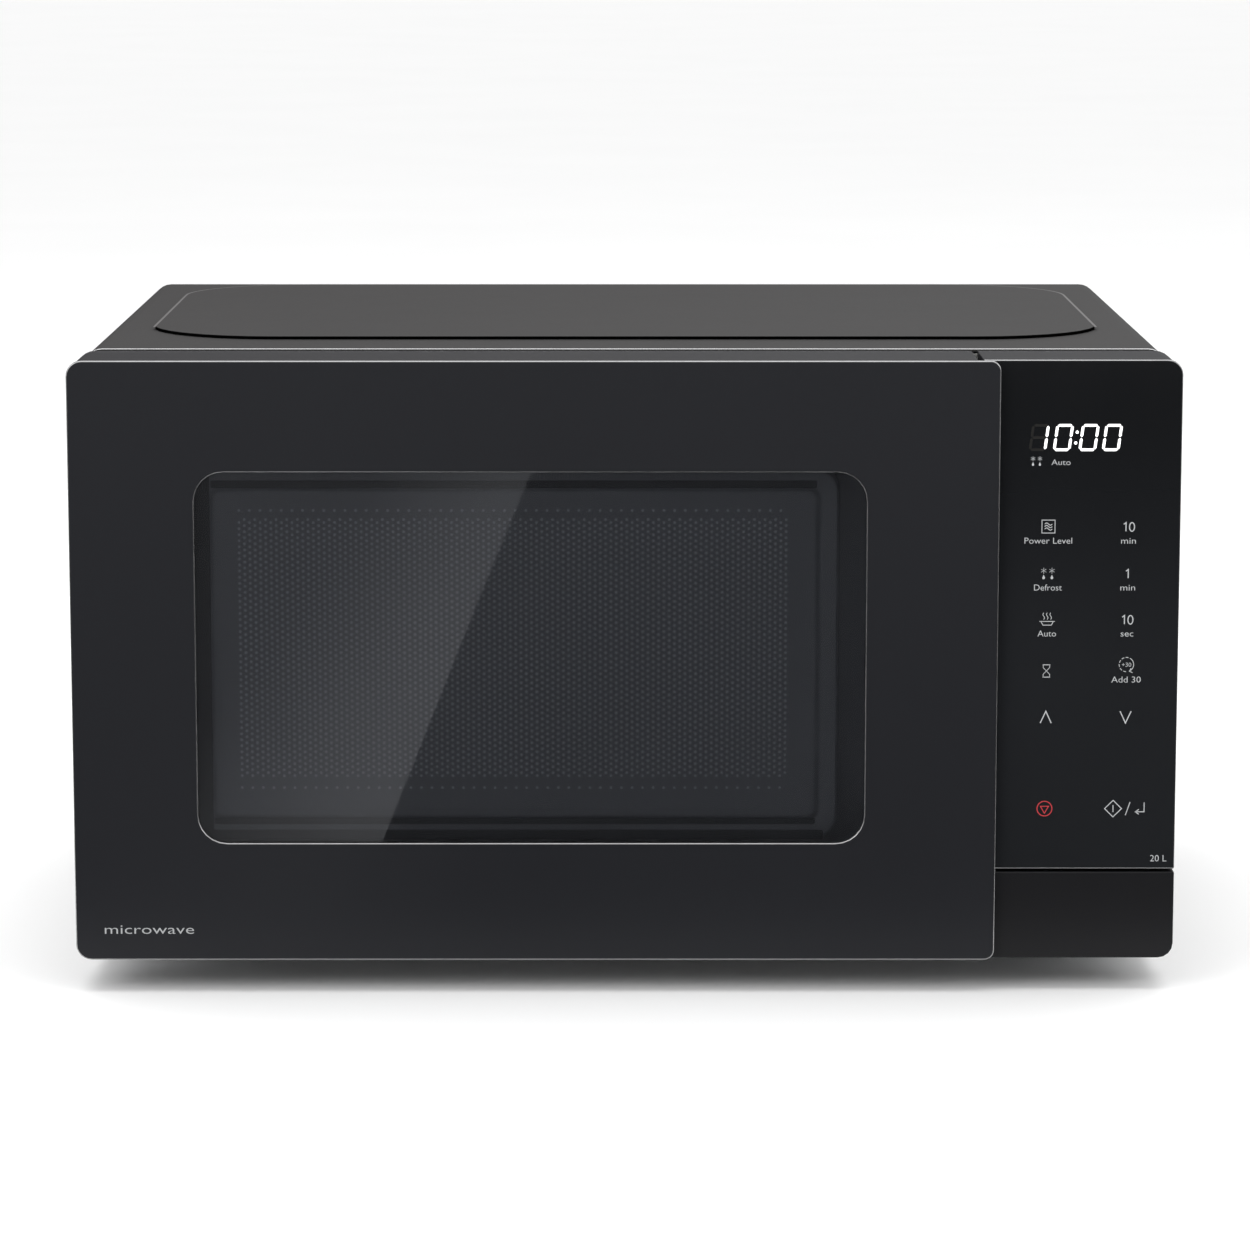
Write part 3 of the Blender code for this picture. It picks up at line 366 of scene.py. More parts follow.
def clear_glass(name):
    """Pressed glass: faint green, with a soft ripple from the mould."""
    s = Shader(name, (0.86, 0.95, 0.92), Transmission_Weight=1.0, IOR=1.5)
    haze = s.noise(120.0, 4.0).smooth(0.55, 0.85)
    return s.coat((0.86, 0.95, 0.92), 0.02 + haze * 0.05, (s.noise(38.0, 2.0), 0.0004, 0.25))


def vitreous_enamel(name, colour):
    """Smooth baked enamel with fine dark flecks in it and a slight wave in the gloss."""
    s = Shader(name, Coat_Weight=0.25, Coat_Roughness=0.12)
    fleck = s.cells(900.0).smooth(0.20, 0.08)
    where = s.noise(420.0, 2.0).smooth(0.52, 0.60)
    wave = s.noise(28.0, 2.0)
    return s.coat(
        s.mix(fleck * where * 0.75, s.tones(wave, colour, 0.93, 1.05), shade(colour, 0.22)),
        0.30 + wave * 0.08,
        (wave + s.noise(500.0, 2.0) * 0.08, 0.00025, 0.35),
    )


def rubber(name, colour=(0.018, 0.018, 0.018), sheen=0.5):
    """Matt black rubber, with a pale bloom in places. Its dark tones also serve the painted shadow
    strips.
    """
    s = Shader(name, Specular_IOR_Level=sheen)
    bloom = s.noise(60.0, 4.0).smooth(0.45, 0.75)
    return s.coat(
        s.tones(bloom * 0.3, colour, 1.0, 3.3), 0.68 + bloom * 0.2, (s.noise(1500.0), 0.00004, 0.6)
    )


def circuit_board(name):
    """Solder resist over copper tracks, with tinned pads."""
    s = Shader(name, Roughness=0.35, Coat_Weight=0.4)
    black, white = (0.0, 0.0, 0.0), (1.0, 1.0, 1.0)
    tracks = s.node(
        "ShaderNodeTexBrick", {"offset": 0.37},
        {"Vector": s.place(), "Scale": 90.0, "Mortar Size": 0.045,
         "Color1": black, "Color2": black, "Mortar": white},
        "Fac",
    )
    pads = s.cells(260.0).smooth(0.16, 0.12)
    resist = s.mix(tracks * 0.6, (0.010, 0.075, 0.028), (0.035, 0.150, 0.060))
    s.set(Metallic=pads * 0.9)
    return s.coat(s.mix(pads, resist, (0.55, 0.55, 0.52)), bump=(tracks + pads, 0.00005, 0.6))


def laminated_core(name):
    """Stacked and varnished steel sheets, with their edges showing as fine lines."""
    s = Shader(name, Metallic=0.6)
    edges = s.bands(190.0, "Y", 0.4)
    varnish = s.noise(70.0, 4.0).smooth(0.50, 0.80)
    steel = s.mix(edges, (0.10, 0.10, 0.11), (0.26, 0.26, 0.27))
    return s.coat(
        s.mix(varnish * 0.7, steel, (0.16, 0.085, 0.035)), 0.40 + edges * 0.2, (edges, 0.0002, 0.7)
    )


def copper_winding(name):
    """Enamelled wire laid turn on turn."""
    s = Shader(name, Metallic=0.85)
    turns = s.bands(260.0, "Z", 0.8, Detail=1.0)
    return s.coat(
        s.mix(turns, (0.20, 0.060, 0.020), (0.62, 0.25, 0.10)), 0.25 + (1 - turns) * 0.3,
        (turns, 0.0004, 0.9),
    )


def mica_sheet(name):
    """Pressed mica: silvery brown flakes."""
    s = Shader(name)
    tone = s.flakes(420.0)
    return s.coat(
        s.mix(tone, (0.36, 0.29, 0.20), (0.58, 0.50, 0.38)), 0.30 + tone * 0.35,
        (tone, 0.00005, 0.6),
    )


def printed_ink(name, colour):
    """Screen-printed ink: matt, with a slight unevenness in how thick it lies."""
    s = Shader(name)
    lay = s.noise(1300.0)
    return s.coat(s.tones(lay, colour, 0.80, 1.12), 0.40 + lay * 0.15)


def lit_segment(name, colour, strength):
    """Light guide of a display segment, a little brighter in its middle."""
    s = Shader(name, shade(colour, 0.6), Roughness=0.3, Emission_Strength=strength)
    s.set(Emission_Color=s.tones(s.noise(300.0, 2.0), colour, 0.90, 1.0))
    return s.material


FINISHES = {}


def make_finishes():
    """All of the oven's finishes, by the names that the pieces use."""
    c = colours()
    recipes = dict(
        wrap_paint=(powder_paint, c.wrap, 0.48, 0.30),
        # painted highlight: the wrap's paint made 5.5 times lighter, for the plateau's shoulder
        wrap_edge=(powder_paint, shade(c.wrap, 5.5), 0.30),
        # painted highlight: bright metal for the chamfers of the door cover and the fascia
        bright_edge=(edge_highlight_paint, c.edge),
        # painted highlight: bright metal for the wrap's front hem
        hem_edge=(edge_highlight_paint, shade(c.edge, 1.48)),
        screen_paint=(powder_paint, c.screen, 0.50, 0.5, 1500.0, 0.00002),
        screen_film=(milky_film,),
        door_plastic=(moulded, c.door, 0.32, 0.18, 0.02),
        door_body_plastic=(moulded, c.door, 0.40, 0.25),
        housing_plastic=(moulded, c.door, 0.40, 0.25),
        inner_plastic=(moulded, (0.030, 0.030, 0.032), 0.45, 0.5, 0.05, 1500.0, 0.00005),
        fascia_gloss=(touch_sheet, c.fascia),
        button_plastic=(moulded, c.button, 0.28, 0.16, 0.02),
        natural_plastic=(moulded, (0.62, 0.61, 0.56), 0.42, 0.5, 0.05, 900.0),
        white_plastic=(moulded, (0.72, 0.72, 0.70), 0.38, 0.5, 0.05, 900.0),
        black_plastic=(moulded, (0.020, 0.020, 0.021), 0.42, 0.5, 0.05, 1200.0),
        red_plastic=(moulded, (0.42, 0.020, 0.015), 0.38, 0.5, 0.05, 1200.0),
        zinc_sheet=(zinc_sheet,),
        aluminium=(bright_steel, (0.72, 0.73, 0.75), 0.34),
        bright_steel=(bright_steel,),
        screw_zinc=(bright_steel, (0.55, 0.55, 0.56), 0.30),
        cavity_enamel=(vitreous_enamel, c.enamel),
        foot_rubber=(rubber,),
        # painted shadow: dark strips round the screen's recess
        foam_seal=(rubber, (0.0118, 0.0124, 0.0142)),
        # painted shadow: near black and without reflection, for the plateau's fold
        dark_fold=(rubber, (0.0010, 0.0010, 0.0010), 0.0),
        tray_glass=(clear_glass,),
        lamp_glass=(clear_glass,),
        smoked_pane=(smoked_pane, sizes().pane_tint, sizes().pane_haze),
        clear_film=(clear_film,),
        circuit_board=(circuit_board,),
        laminated_core=(laminated_core,),
        copper_winding=(copper_winding,),
        mica_sheet=(mica_sheet,),
        legend_ink=(printed_ink, c.ink),
        mark_ink=(printed_ink, shade(c.ink, 0.85)),
        stop_ink=(printed_ink, c.stop),
        lit_segment=(lit_segment, c.lit, 1.6),
        dark_segment=(moulded, (0.0106, 0.0101, 0.0092), 0.30, 0.32),
    )
    for name, (recipe, *values) in recipes.items():
        FINISHES[name] = recipe(name, *values)


# --- mesh building -----------------------------------------------------------------------------

WELD = 1e-6
NORMAL_WEIGHT = 60


class Sheet:
    """Points and faces gathered for one piece."""

    def __init__(self):
        self.points = []
        self.faces = []

    def add(self, points):
        start = len(self.points)
        self.points += [tuple(p) for p in points]
        return list(range(start, len(self.points)))

    def bridge(self, first, second, closed=True):
        """Faces between two rows of as many points."""
        count = len(first)
        for i in range(count if closed else count - 1):
            j = (i + 1) % count
            self.faces.append((first[i], first[j], second[j], second[i]))

    def cap(self, ring, turned_over=False):
        self.faces.append(tuple(reversed(ring)) if turned_over else tuple(ring))

    def skin(self, rows, closed=False):
        """Joins closed rows of points. The ends are filled, or the last row joins the first."""
        for first, second in zip(rows, rows[1:]):
            self.bridge(first, second)
        if closed:
            self.bridge(rows[-1], rows[0])
        else:
            self.cap(rows[0], True)
            self.cap(rows[-1])

    def loft(self, rings, closed=False):
        self.skin([self.add(ring) for ring in rings], closed)

    def turn(self, profile, steps, matrix):
        """A (radius, height) profile spun round Z and then placed. Points at radius 0 close it."""
        rows = []
        for radius, height in profile:
            ring = circle(radius, steps) if radius else [(0, 0)]
            rows.append(self.add([matrix @ Vector((u, v, height)) for u, v in ring]))
        for first, second in zip(rows, rows[1:] + ([] if len(rows[0]) == 1 else rows[:1])):
            if len(first) == len(second) > 1:
                self.bridge(first, second)
            elif len(first) != len(second):
                (point,), ring = sorted((first, second), key=len)
                self.faces += [(point, ring[i], ring[(i + 1) % steps]) for i in range(steps)]

    def tube(self, line, radius, sides=10):
        """A round bar along a line of points."""
        rows, side = [], None
        for i, point in enumerate(line):
            before, after = line[max(i - 1, 0)], line[min(i + 1, len(line) - 1)]
            ahead = (Vector(after) - Vector(before)).normalized()
            side = side or ahead.orthogonal().normalized()
            side = (side - ahead * side.dot(ahead)).normalized()
            up = ahead.cross(side)
            rows.append(self.add([
                Vector(point) + (side * math.cos(a) + up * math.sin(a)) * radius
                for a in (math.tau * k / sides for k in range(sides))
            ]))
        self.skin(rows)

    def ribbon(self, line, width, put, closed=False):
        """A flat stroke of even width along (u, v) points, put into space by put(u, v)."""
        sharpest = 0.4
        count = len(line)
        left, right = [], []
        for i, (u, v) in enumerate(line):
            before = line[i - 1] if closed or i else line[i]
            after = line[(i + 1) % count] if closed or i < count - 1 else line[i]
            into = Vector((u - before[0], v - before[1]))
            out = Vector((after[0] - u, after[1] - v))
            into = into.normalized() if into.length else out.normalized()
            out = out.normalized() if out.length else into
            bend = (into + out).normalized() if (into + out).length > 1e-6 else into
            across = Vector((-bend.y, bend.x)) * width / 2 / max(sharpest, bend.dot(into))
            left.append(put(u + across.x, v + across.y))
            right.append(put(u - across.x, v - across.y))
        self.bridge(self.add(right), self.add(left), closed)

    def piece(self, name, finish, body, slot, replaces=(), smooth=35.0):
        """Makes the object, and lets it ride on its body."""
        mesh = bpy.data.meshes.new(name)
        mesh.from_pydata(self.points, [], self.faces)
        bm = bmesh.new()
        bm.from_mesh(mesh)
        bmesh.ops.remove_doubles(bm, verts=bm.verts, dist=WELD)
        bmesh.ops.recalc_face_normals(bm, faces=bm.faces)
        bm.to_mesh(mesh)
        bm.free()
        mesh.materials.append(FINISHES[finish])
        smooth_faces(mesh)
        mesh.set_sharp_from_angle(angle=math.radians(smooth))
        obj = bpy.data.objects.new(name, mesh)
        bpy.context.scene.collection.objects.link(obj)
        modify(obj, "face_normals", "WEIGHTED_NORMAL", keep_sharp=True, weight=NORMAL_WEIGHT)
        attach(obj, body)
        if replaces:
            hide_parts(*replaces)
        return obj


def smooth_faces(mesh):
    mesh.polygons.foreach_set("use_smooth", [True] * len(mesh.polygons))


def modify(obj, name, kind, **settings):
    modifier = obj.modifiers.new(name, kind)
    for setting, value in settings.items():
        setattr(modifier, setting, value)
    return modifier


def finish_node(name, finish):
    node = NODES[name]
    for slot in node.material_slots:
        slot.material = FINISHES[finish]
    smooth_faces(node.data)
    return node


def dress_sheet(names, finish):
    """Gives pierced sheets their finish. Their punched edges stay crisp."""
    crisp = math.radians(35)
    for name in names.split():
        modify(finish_node(name, finish), "crisp_edges", "EDGE_SPLIT",
               split_angle=crisp, use_edge_sharp=False)


def dress(names, finish, bevel, segments=2, edge=None):
    """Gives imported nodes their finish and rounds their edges, which can have their own finish."""
    same_plane, least_edge = math.radians(0.4), math.radians(32.0)
    for name in names.split():
        node = finish_node(name, finish)
        modify(node, "weld", "WELD", merge_threshold=WELD)
        modify(node, "one_face_per_plane", "DECIMATE",
               decimate_type="DISSOLVE", angle_limit=same_plane)
        if bevel:
            rounded = modify(
                node, "rounded_edges", "BEVEL", width=bevel, segments=segments,
                limit_method="ANGLE", angle_limit=least_edge, use_clamp_overlap=True,
                miter_outer="MITER_ARC",
            )
            # the edge finish paints a highlight on the rounded edges
            if edge:
                node.data.materials.append(FINISHES[edge])
                rounded.material = len(node.data.materials) - 1
        modify(node, "face_normals", "WEIGHTED_NORMAL", weight=NORMAL_WEIGHT)


def circle(radius, steps):
    turns = [math.tau * i / steps for i in range(steps)]
    return [(radius * math.cos(a), radius * math.sin(a)) for a in turns]


def arc(cu, cv, radius, start, end, steps=16):
    """Points from one angle to another, in degrees."""
    angles = [math.radians(start + (end - start) * i / steps) for i in range(steps + 1)]
    return [(cu + radius * math.cos(a), cv + radius * math.sin(a)) for a in angles]


def rounded_ring(x0, x1, z0, z1, radius, y, steps=8):
    """A rectangle with round corners across Y, anticlockwise from its low corner."""
    ring = []
    for x, z, start in ((x0, z0, 180), (x1, z0, 270), (x1, z1, 0), (x0, z1, 90)):
        cx = x + (radius if x == x0 else -radius)
        cz = z + (radius if z == z0 else -radius)
        ring += [(u, y, v) for u, v in arc(cx, cz, radius, start, start + 90, steps)]
    return ring


def nested_rings(box, radius, steps, *rows):
    """Rings of one rounded rectangle. Each row gives how much it grows, and its place along Y."""
    x0, x1, z0, z1 = box
    least = 0.0004
    return [
        rounded_ring(x0 - g, x1 + g, z0 - g, z1 + g, max(radius + g, least), y, steps)
        for g, y in rows
    ]


def along(axis, at):
    """Places a turned piece with its axis along X, Y or Z."""
    turned = {"X": (90, "Y"), "-X": (-90, "Y"), "Y": (-90, "X")}
    degrees, about = turned[axis]
    return Matrix.Translation(at) @ Matrix.Rotation(math.radians(degrees), 4, about)


def perforated_field(sheet, u_range, v_range, pitch, radius, put, has_hole):
    """Six-sided cells, close-packed. has_hole(column, row, columns, rows) says which have holes."""
    (u0, u1), (v0, v1) = u_range, v_range
    step = pitch * math.sqrt(3) / 2
    columns, rows = round((u1 - u0) / step) + 1, round((v1 - v0) / pitch) + 1
    corner = pitch / math.sqrt(3)
    steps_per_metre = 2e6
    shared = {}

    def point(u, v):
        key = (round(u * steps_per_metre), round(v * steps_per_metre))
        if key not in shared:
            shared[key] = sheet.add([put(u, v)])[0]
        return shared[key]

    rim = [(pitch / 2 if k % 2 else corner, math.radians(30 * k)) for k in range(12)]
    for i in range(columns):
        for j in range(rows):
            u, v = u0 + i * step, v0 + (j + (0.5 if i % 2 else 0.0)) * pitch
            outer = [point(u + r * math.cos(a), v + r * math.sin(a)) for r, a in rim]
            if has_hole(i, j, columns, rows):
                hole = [put(u + radius * math.cos(a), v + radius * math.sin(a)) for _, a in rim]
                sheet.bridge(outer, sheet.add(hole))
            else:
                sheet.cap(outer)


# --- pieces ------------------------------------------------------------------------------------


class OvenOperator:
    bl_options = {"REGISTER"}

    def execute(self, context):
        self.make()
        return {"FINISHED"}


class OVEN_OT_cabinet(OvenOperator, bpy.types.Operator):
    """Finish the outer wrap, the back, the base, the front frame and the hinges."""

    bl_idname = "oven.cabinet"
    bl_label = "Cabinet"

    FLAT_TOP, PLATEAU_TOP = 0.2567, 0.2580

    def make(self):
        dress_sheet("outer_wrap", "wrap_paint")
        dress_sheet("back_panel base_plate", "zinc_sheet")
        dress_sheet("front_frame", "cavity_enamel")
        dress("hinge_upper hinge_lower", "bright_steel", 0.0003)
        self.back_ribs()
        self.hem()
        self.plateau_painted_lines()

    def hem(self):
        """The wrap's front edge, folded back on itself, drawn in bright metal: a painted highlight.
        """
        low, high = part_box("outer_wrap")
        r, wire = 0.0078, 0.00042
        side, crown, foot = high.x - wire / 2, self.FLAT_TOP - wire / 2, low.z + 0.001
        line = [(-side, foot)] + arc(r - side, crown - r, r, 180, 90, 8)
        line += arc(side - r, crown - r, r, 90, 0, 8) + [(side, foot)]
        # painted highlight: a bright tube along the wrap's front edge
        hem = Sheet()
        hem.tube([(u, low.y + wire, v) for u, v in line], wire)
        hem.piece("wrap_front_hem_highlight", "hem_edge", "cabinet", "black_paint", smooth=60)

    def plateau_painted_lines(self):
        """The raised field's edge: a painted highlight along its shoulder, and a painted shadow in
        the fold before it.
        """
        x, y0, y1, r = 0.1990, -0.089, 0.154, 0.054
        inset, clear = 0.0009, 0.00012
        right = [(x, y0 + r * 0.75), (x, y1 - r)] + arc(x - r, y1 - r, r, 6, 90, 14)
        right = [(u - inset, v - inset) for u, v in right]
        left = [(-u, v) for u, v in reversed(right)]
        # painted highlight: a light ribbon along the plateau's shoulder
        shoulder = Sheet()
        shoulder.ribbon(right + left, 0.0010, lambda u, v: (u, v, self.PLATEAU_TOP + 0.00001))
        shoulder.piece("plateau_shoulder_highlight", "wrap_edge", "cabinet", "black_paint", smooth=60)
        front = arc(r - x, y0 + r, r + clear, 193, 270, 24)
        front += arc(x - r, y0 + r, r + clear, 270, 347, 24)
        # painted shadow: a near-black strip up the front of the fold
        fold = Sheet()
        levels = (self.FLAT_TOP + 0.00002, self.PLATEAU_TOP - 0.0001)
        fold.bridge(*[fold.add([(u, v, z) for u, v in front]) for z in levels], closed=False)
        fold.piece("plateau_fold_shadow", "dark_fold", "cabinet", "black_paint", smooth=60)

    def back_ribs(self):
        """Stiffening ribs pressed out of the back panel."""
        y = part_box("back_panel")[1].y - 0.0002
        half = 0.004
        ribs = Sheet()
        for z in (0.118, 0.138, 0.158):
            ribs.loft(nested_rings((-0.170, 0.070, z - half, z + half), 0.0039, 6,
                                   (0, y), (-0.0012, y + 0.0010), (-0.0022, y + 0.0012)))
        ribs.piece("back_ribs", "zinc_sheet", "cabinet", "galvanised", smooth=60)


class OVEN_OT_fasteners(OvenOperator, bpy.types.Operator):
    """Make the wrap screws with their cross recesses, the further screws of the back, and feet."""

    bl_idname = "oven.fasteners"
    bl_label = "Screws and feet"

    BACK_SCREWS = (
        (-0.150, 0.245), (0.020, 0.245), (-0.150, 0.026), (0.020, 0.026), (0.105, 0.205),
        (0.105, 0.085),
    )

    def make(self):
        finish = ("screw_zinc", "cabinet", "zinc_screw")
        for name in ("upper_left", "lower_left", "upper_right", "lower_right"):
            low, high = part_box(f"wrap_screw_{name}")
            centre = ((low.x + high.x) / 2, high.y - 0.0015, (low.z + high.z) / 2)
            head = Sheet()
            self.pan_head(head, centre, (high.x - low.x) / 2 - 0.0001, 0.0014)
            head.piece(f"wrap_screw_head_{name}", *finish, [f"wrap_screw_{name}"], 40)
        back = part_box("back_panel")[1].y
        extra = Sheet()
        for x, z in self.BACK_SCREWS:
            self.pan_head(extra, (x, back, z), 0.0030, 0.0012)
        extra.piece("back_screw_heads", *finish, smooth=40)
        for name in ("front_left", "front_right", "rear_left", "rear_right"):
            self.foot(name)

    def pan_head(self, sheet, centre, radius, height):
        """A domed head with a four-armed recess sunk in it."""
        steps, arm, half = 32, radius * 0.55, radius * 0.10
        dome = (1.0, 0.0002), (1.0, height * 0.35), (0.94, height * 0.70), (0.78, height * 0.93)
        rows = [(circle(radius * share, steps), z) for share, z in (*dome, (0.62, height))]
        cross = []
        for u, v in circle(1.0, steps):
            reach = arm if min(abs(u), abs(v)) < half / arm * 1.3 else half * 1.6
            cross.append((u * reach, v * reach))
        rows += [(cross, height), ([(u * 0.75, v * 0.75) for u, v in cross], height * 0.25)]
        place = along("Y", centre)
        sheet.loft([[place @ Vector((u, v, z)) for u, v in ring] for ring, z in rows])

    def foot(self, name):
        low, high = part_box(f"foot_{name}")
        centre = ((low.x + high.x) / 2, (low.y + high.y) / 2, 0.0)
        top, r = high.z, (high.x - low.x) / 2
        profile = [
            (0, 0.0012), (0.0045, 0.0012), (0.0052, 0.0), (0.0088, 0.0), (0.0097, 0.0004),
            (0.0102, 0.0014), (0.0108, top * 0.40), (0.0104, top * 0.44), (0.0104, top * 0.50),
            (0.0110, top * 0.54), (r, top - 0.0012), (r, top), (0, top),
        ]
        foot = Sheet()
        foot.turn(profile, 64, Matrix.Translation(centre))
        foot.piece(f"ribbed_foot_{name}", "foot_rubber", "cabinet", "rubber", [f"foot_{name}"], 40)


class OVEN_OT_cavity(OvenOperator, bpy.types.Operator):
    """Finish the cooking cavity, and make the pierced grilles in its walls."""

    bl_idname = "oven.cavity"
    bl_label = "Cavity"

    FINISH = ("cavity_enamel", "cabinet", "cavity_enamel")

    def make(self):
        dress_sheet("cavity_liner", "cavity_enamel")
        dress("waveguide_cover", "mica_sheet", 0.0001)
        self.low, self.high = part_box("cavity_liner")
        self.wall, proud = 0.001, 0.0002
        right, left = self.high.x - self.wall - proud, self.low.x + self.wall + proud
        self.grille("lamp_grille", right, (0.0970, 0.1210), (0.1920, 0.2160), 0.0032, 0.0010)
        self.grille("air_inlet_grille", right, (0.085, 0.135), (0.045, 0.090), 0.0040, 0.0013)
        self.grille("steam_outlet_grille", left, (0.045, 0.115), (0.175, 0.215), 0.0040, 0.0013)
        self.rear_wall_stamping()
        self.mica_rivets()

    def grille(self, name, x, across, up, pitch, radius):
        plate = Sheet()
        perforated_field(
            plate, across, up, pitch, radius, lambda u, v: (x, u, v),
            lambda i, j, columns, rows: 0 < i < columns - 1 and 0 < j < rows - 1,
        )
        plate.piece(name, *self.FINISH)

    def rear_wall_stamping(self):
        """A shallow raised field on the cavity's rear wall."""
        margin, y = 0.035, self.high.y - self.wall
        box = (self.low.x + margin, self.high.x - margin, 0.070, 0.205)
        field = Sheet()
        field.loft(nested_rings(box, 0.020, 10,
                                (0, y + 0.0002), (-0.003, y - 0.0016), (-0.005, y - 0.0020)))
        field.piece("rear_wall_stamping", *self.FINISH, smooth=60)

    def mica_rivets(self):
        """Two plastic rivets that hold the mica plate."""
        low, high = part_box("waveguide_cover")
        margin = 0.005
        profile = [(0, -0.0002), (0.0030, -0.0002), (0.0030, 0.0005), (0.0022, 0.0011), (0, 0.0013)]
        rivets = Sheet()
        for y, z in ((low.y + margin, low.z + margin), (high.y - margin, high.z - margin)):
            rivets.turn(profile, 32, along("-X", (low.x, y, z)))
        rivets.piece("mica_rivets", "white_plastic", "cabinet", "white_plastic", smooth=45)


class OVEN_OT_turntable(OvenOperator, bpy.types.Operator):
    """Make the glass tray, its coupler, and the ring with its three wheels."""

    bl_idname = "oven.turntable"
    bl_label = "Turntable"

    WHEEL_FAR = 0.1005

    def make(self):
        low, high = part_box("glass_tray")
        self.centre = ((low.x + high.x) / 2, (low.y + high.y) / 2)
        self.tray_radius = high.x - self.centre[0]
        low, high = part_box("roller_ring")
        self.axle_height = (low.z + high.z) / 2
        self.tray()
        self.tray_lugs()
        self.ring()
        for i in range(3):
            self.wheel(i)
        dress("turntable_coupler", "natural_plastic", 0.0006)
        dress("turntable_motor", "zinc_sheet", 0.0004)

    def turned(self, degrees, z):
        """On the turntable's axis, turned by an angle."""
        turn = Matrix.Rotation(math.radians(degrees), 4, "Z")
        return Matrix.Translation((*self.centre, z)) @ turn

    def axle(self, i):
        """Along the axle of one of the three wheels, outwards."""
        return self.turned(90 + 120 * i, self.axle_height) @ along("X", (0, 0, 0))

    def tray(self):
        b, rim = 0.0456, self.tray_radius
        profile = [
            (0, b), (0.110, b), (0.117, b + 0.0002), (0.1215, b + 0.0022), (0.1248, b + 0.0062),
            (0.1266, b + 0.0105), (rim, b + 0.0138), (rim, b + 0.0148), (rim - 0.0008, b + 0.0150),
            (rim - 0.0020, b + 0.0147), (rim - 0.0028, b + 0.0128), (0.1222, b + 0.0092),
            (0.1200, b + 0.0066), (0.1170, b + 0.0053), (0.1140, b + 0.0050),
        ]
        for bead in (0.0900, 0.0450):
            profile += [
                (bead + 0.0005, b + 0.0050), (bead, b + 0.0054), (bead - 0.0010, b + 0.0054),
                (bead - 0.0015, b + 0.0050),
            ]
        profile.append((0, b + 0.0050))
        tray = Sheet()
        tray.turn(profile, sizes().turned_steps, Matrix.Translation((*self.centre, 0)))
        tray.piece("turntable_glass", "tray_glass", "turntable", "clear_glass", ["glass_tray"], 50)

    def tray_lugs(self):
        """Three lugs under the glass, which the coupler's arms push."""
        b = 0.0456
        lugs = Sheet()
        for i in range(3):
            place = self.turned(30 + 120 * i, 0)
            lugs.loft([
                [place @ Vector((0.0300 + (0.0030 + grow) * u, (0.0060 + grow) * v, z))
                 for u, v in circle(1.0, 24)]
                for z, grow in ((b - 0.0026, -0.0008), (b - 0.0018, 0.0), (b + 0.0003, 0.0006))
            ])
        lugs.piece("tray_lugs", "tray_glass", "turntable", "clear_glass", smooth=60)

    def ring(self):
        inner, outer, half, r = 0.0840, 0.0880, 0.0025, 0.0008
        bottom, top = self.axle_height - half + r, self.axle_height + half - r
        profile = []
        for cu, cv, start in ((inner + r, bottom, 180), (outer - r, bottom, 270),
                              (outer - r, top, 0), (inner + r, top, 90)):
            profile += arc(cu, cv, r, start, start + 90, 3)
        ring = Sheet()
        ring.turn(profile, sizes().turned_steps, Matrix.Translation((*self.centre, 0)))
        far = self.WHEEL_FAR
        stalk = [
            (0, 0.0862), (0.0034, 0.0862), (0.0034, 0.0896), (0.0022, 0.0906), (0.0015, 0.0906),
            (0.0015, far + 0.0004), (0.0026, far + 0.0004), (0.0024, far + 0.0015),
            (0.0016, far + 0.0018), (0, far + 0.0018),
        ]
        for i in range(3):
            ring.turn(stalk, 32, self.axle(i))
        ring.piece("support_ring_moulding", "natural_plastic", "support_ring", "natural_plastic",
                   ["roller_ring"], 40)

    def wheel(self, i):
        r, near, far, bore = 0.0075, 0.0925, self.WHEEL_FAR, 0.0019
        web = (near + far) / 2
        profile = [
            (bore, near), (bore + 0.0012, near), (bore + 0.0014, web - 0.0012),
            (r - 0.0018, web - 0.0012), (r - 0.0014, near + 0.0002), (r - 0.0006, near),
            (r, near + 0.0006), (r, far - 0.0006), (r - 0.0006, far), (r - 0.0014, far - 0.0002),
            (r - 0.0018, web + 0.0012), (bore + 0.0014, web + 0.0012), (bore + 0.0012, far),
            (bore, far),
        ]
        wheel = Sheet()
        wheel.turn(profile, 48, self.axle(i))
        wheel.piece(f"ring_wheel_{i + 1}", "natural_plastic", f"wheel_{i + 1}", "natural_plastic",
                    [f"roller_wheel_{i + 1}"], 40)


class OVEN_OT_door(OvenOperator, bpy.types.Operator):
    """Finish the door's frame, front cover, window pane and choke cover."""

    bl_idname = "oven.door"
    bl_label = "Door"

    def make(self):
        # the cover's rounded edges carry a painted highlight
        dress("door_front_cover", "door_plastic", 0.0006, 3, "bright_edge")
        dress("window_pane", "smoked_pane", 0.0)
        dress("door_frame", "door_body_plastic", sizes().edge)
        dress_sheet("choke_cover", "inner_plastic")
        dress("inner_film", "clear_film", 0.0)


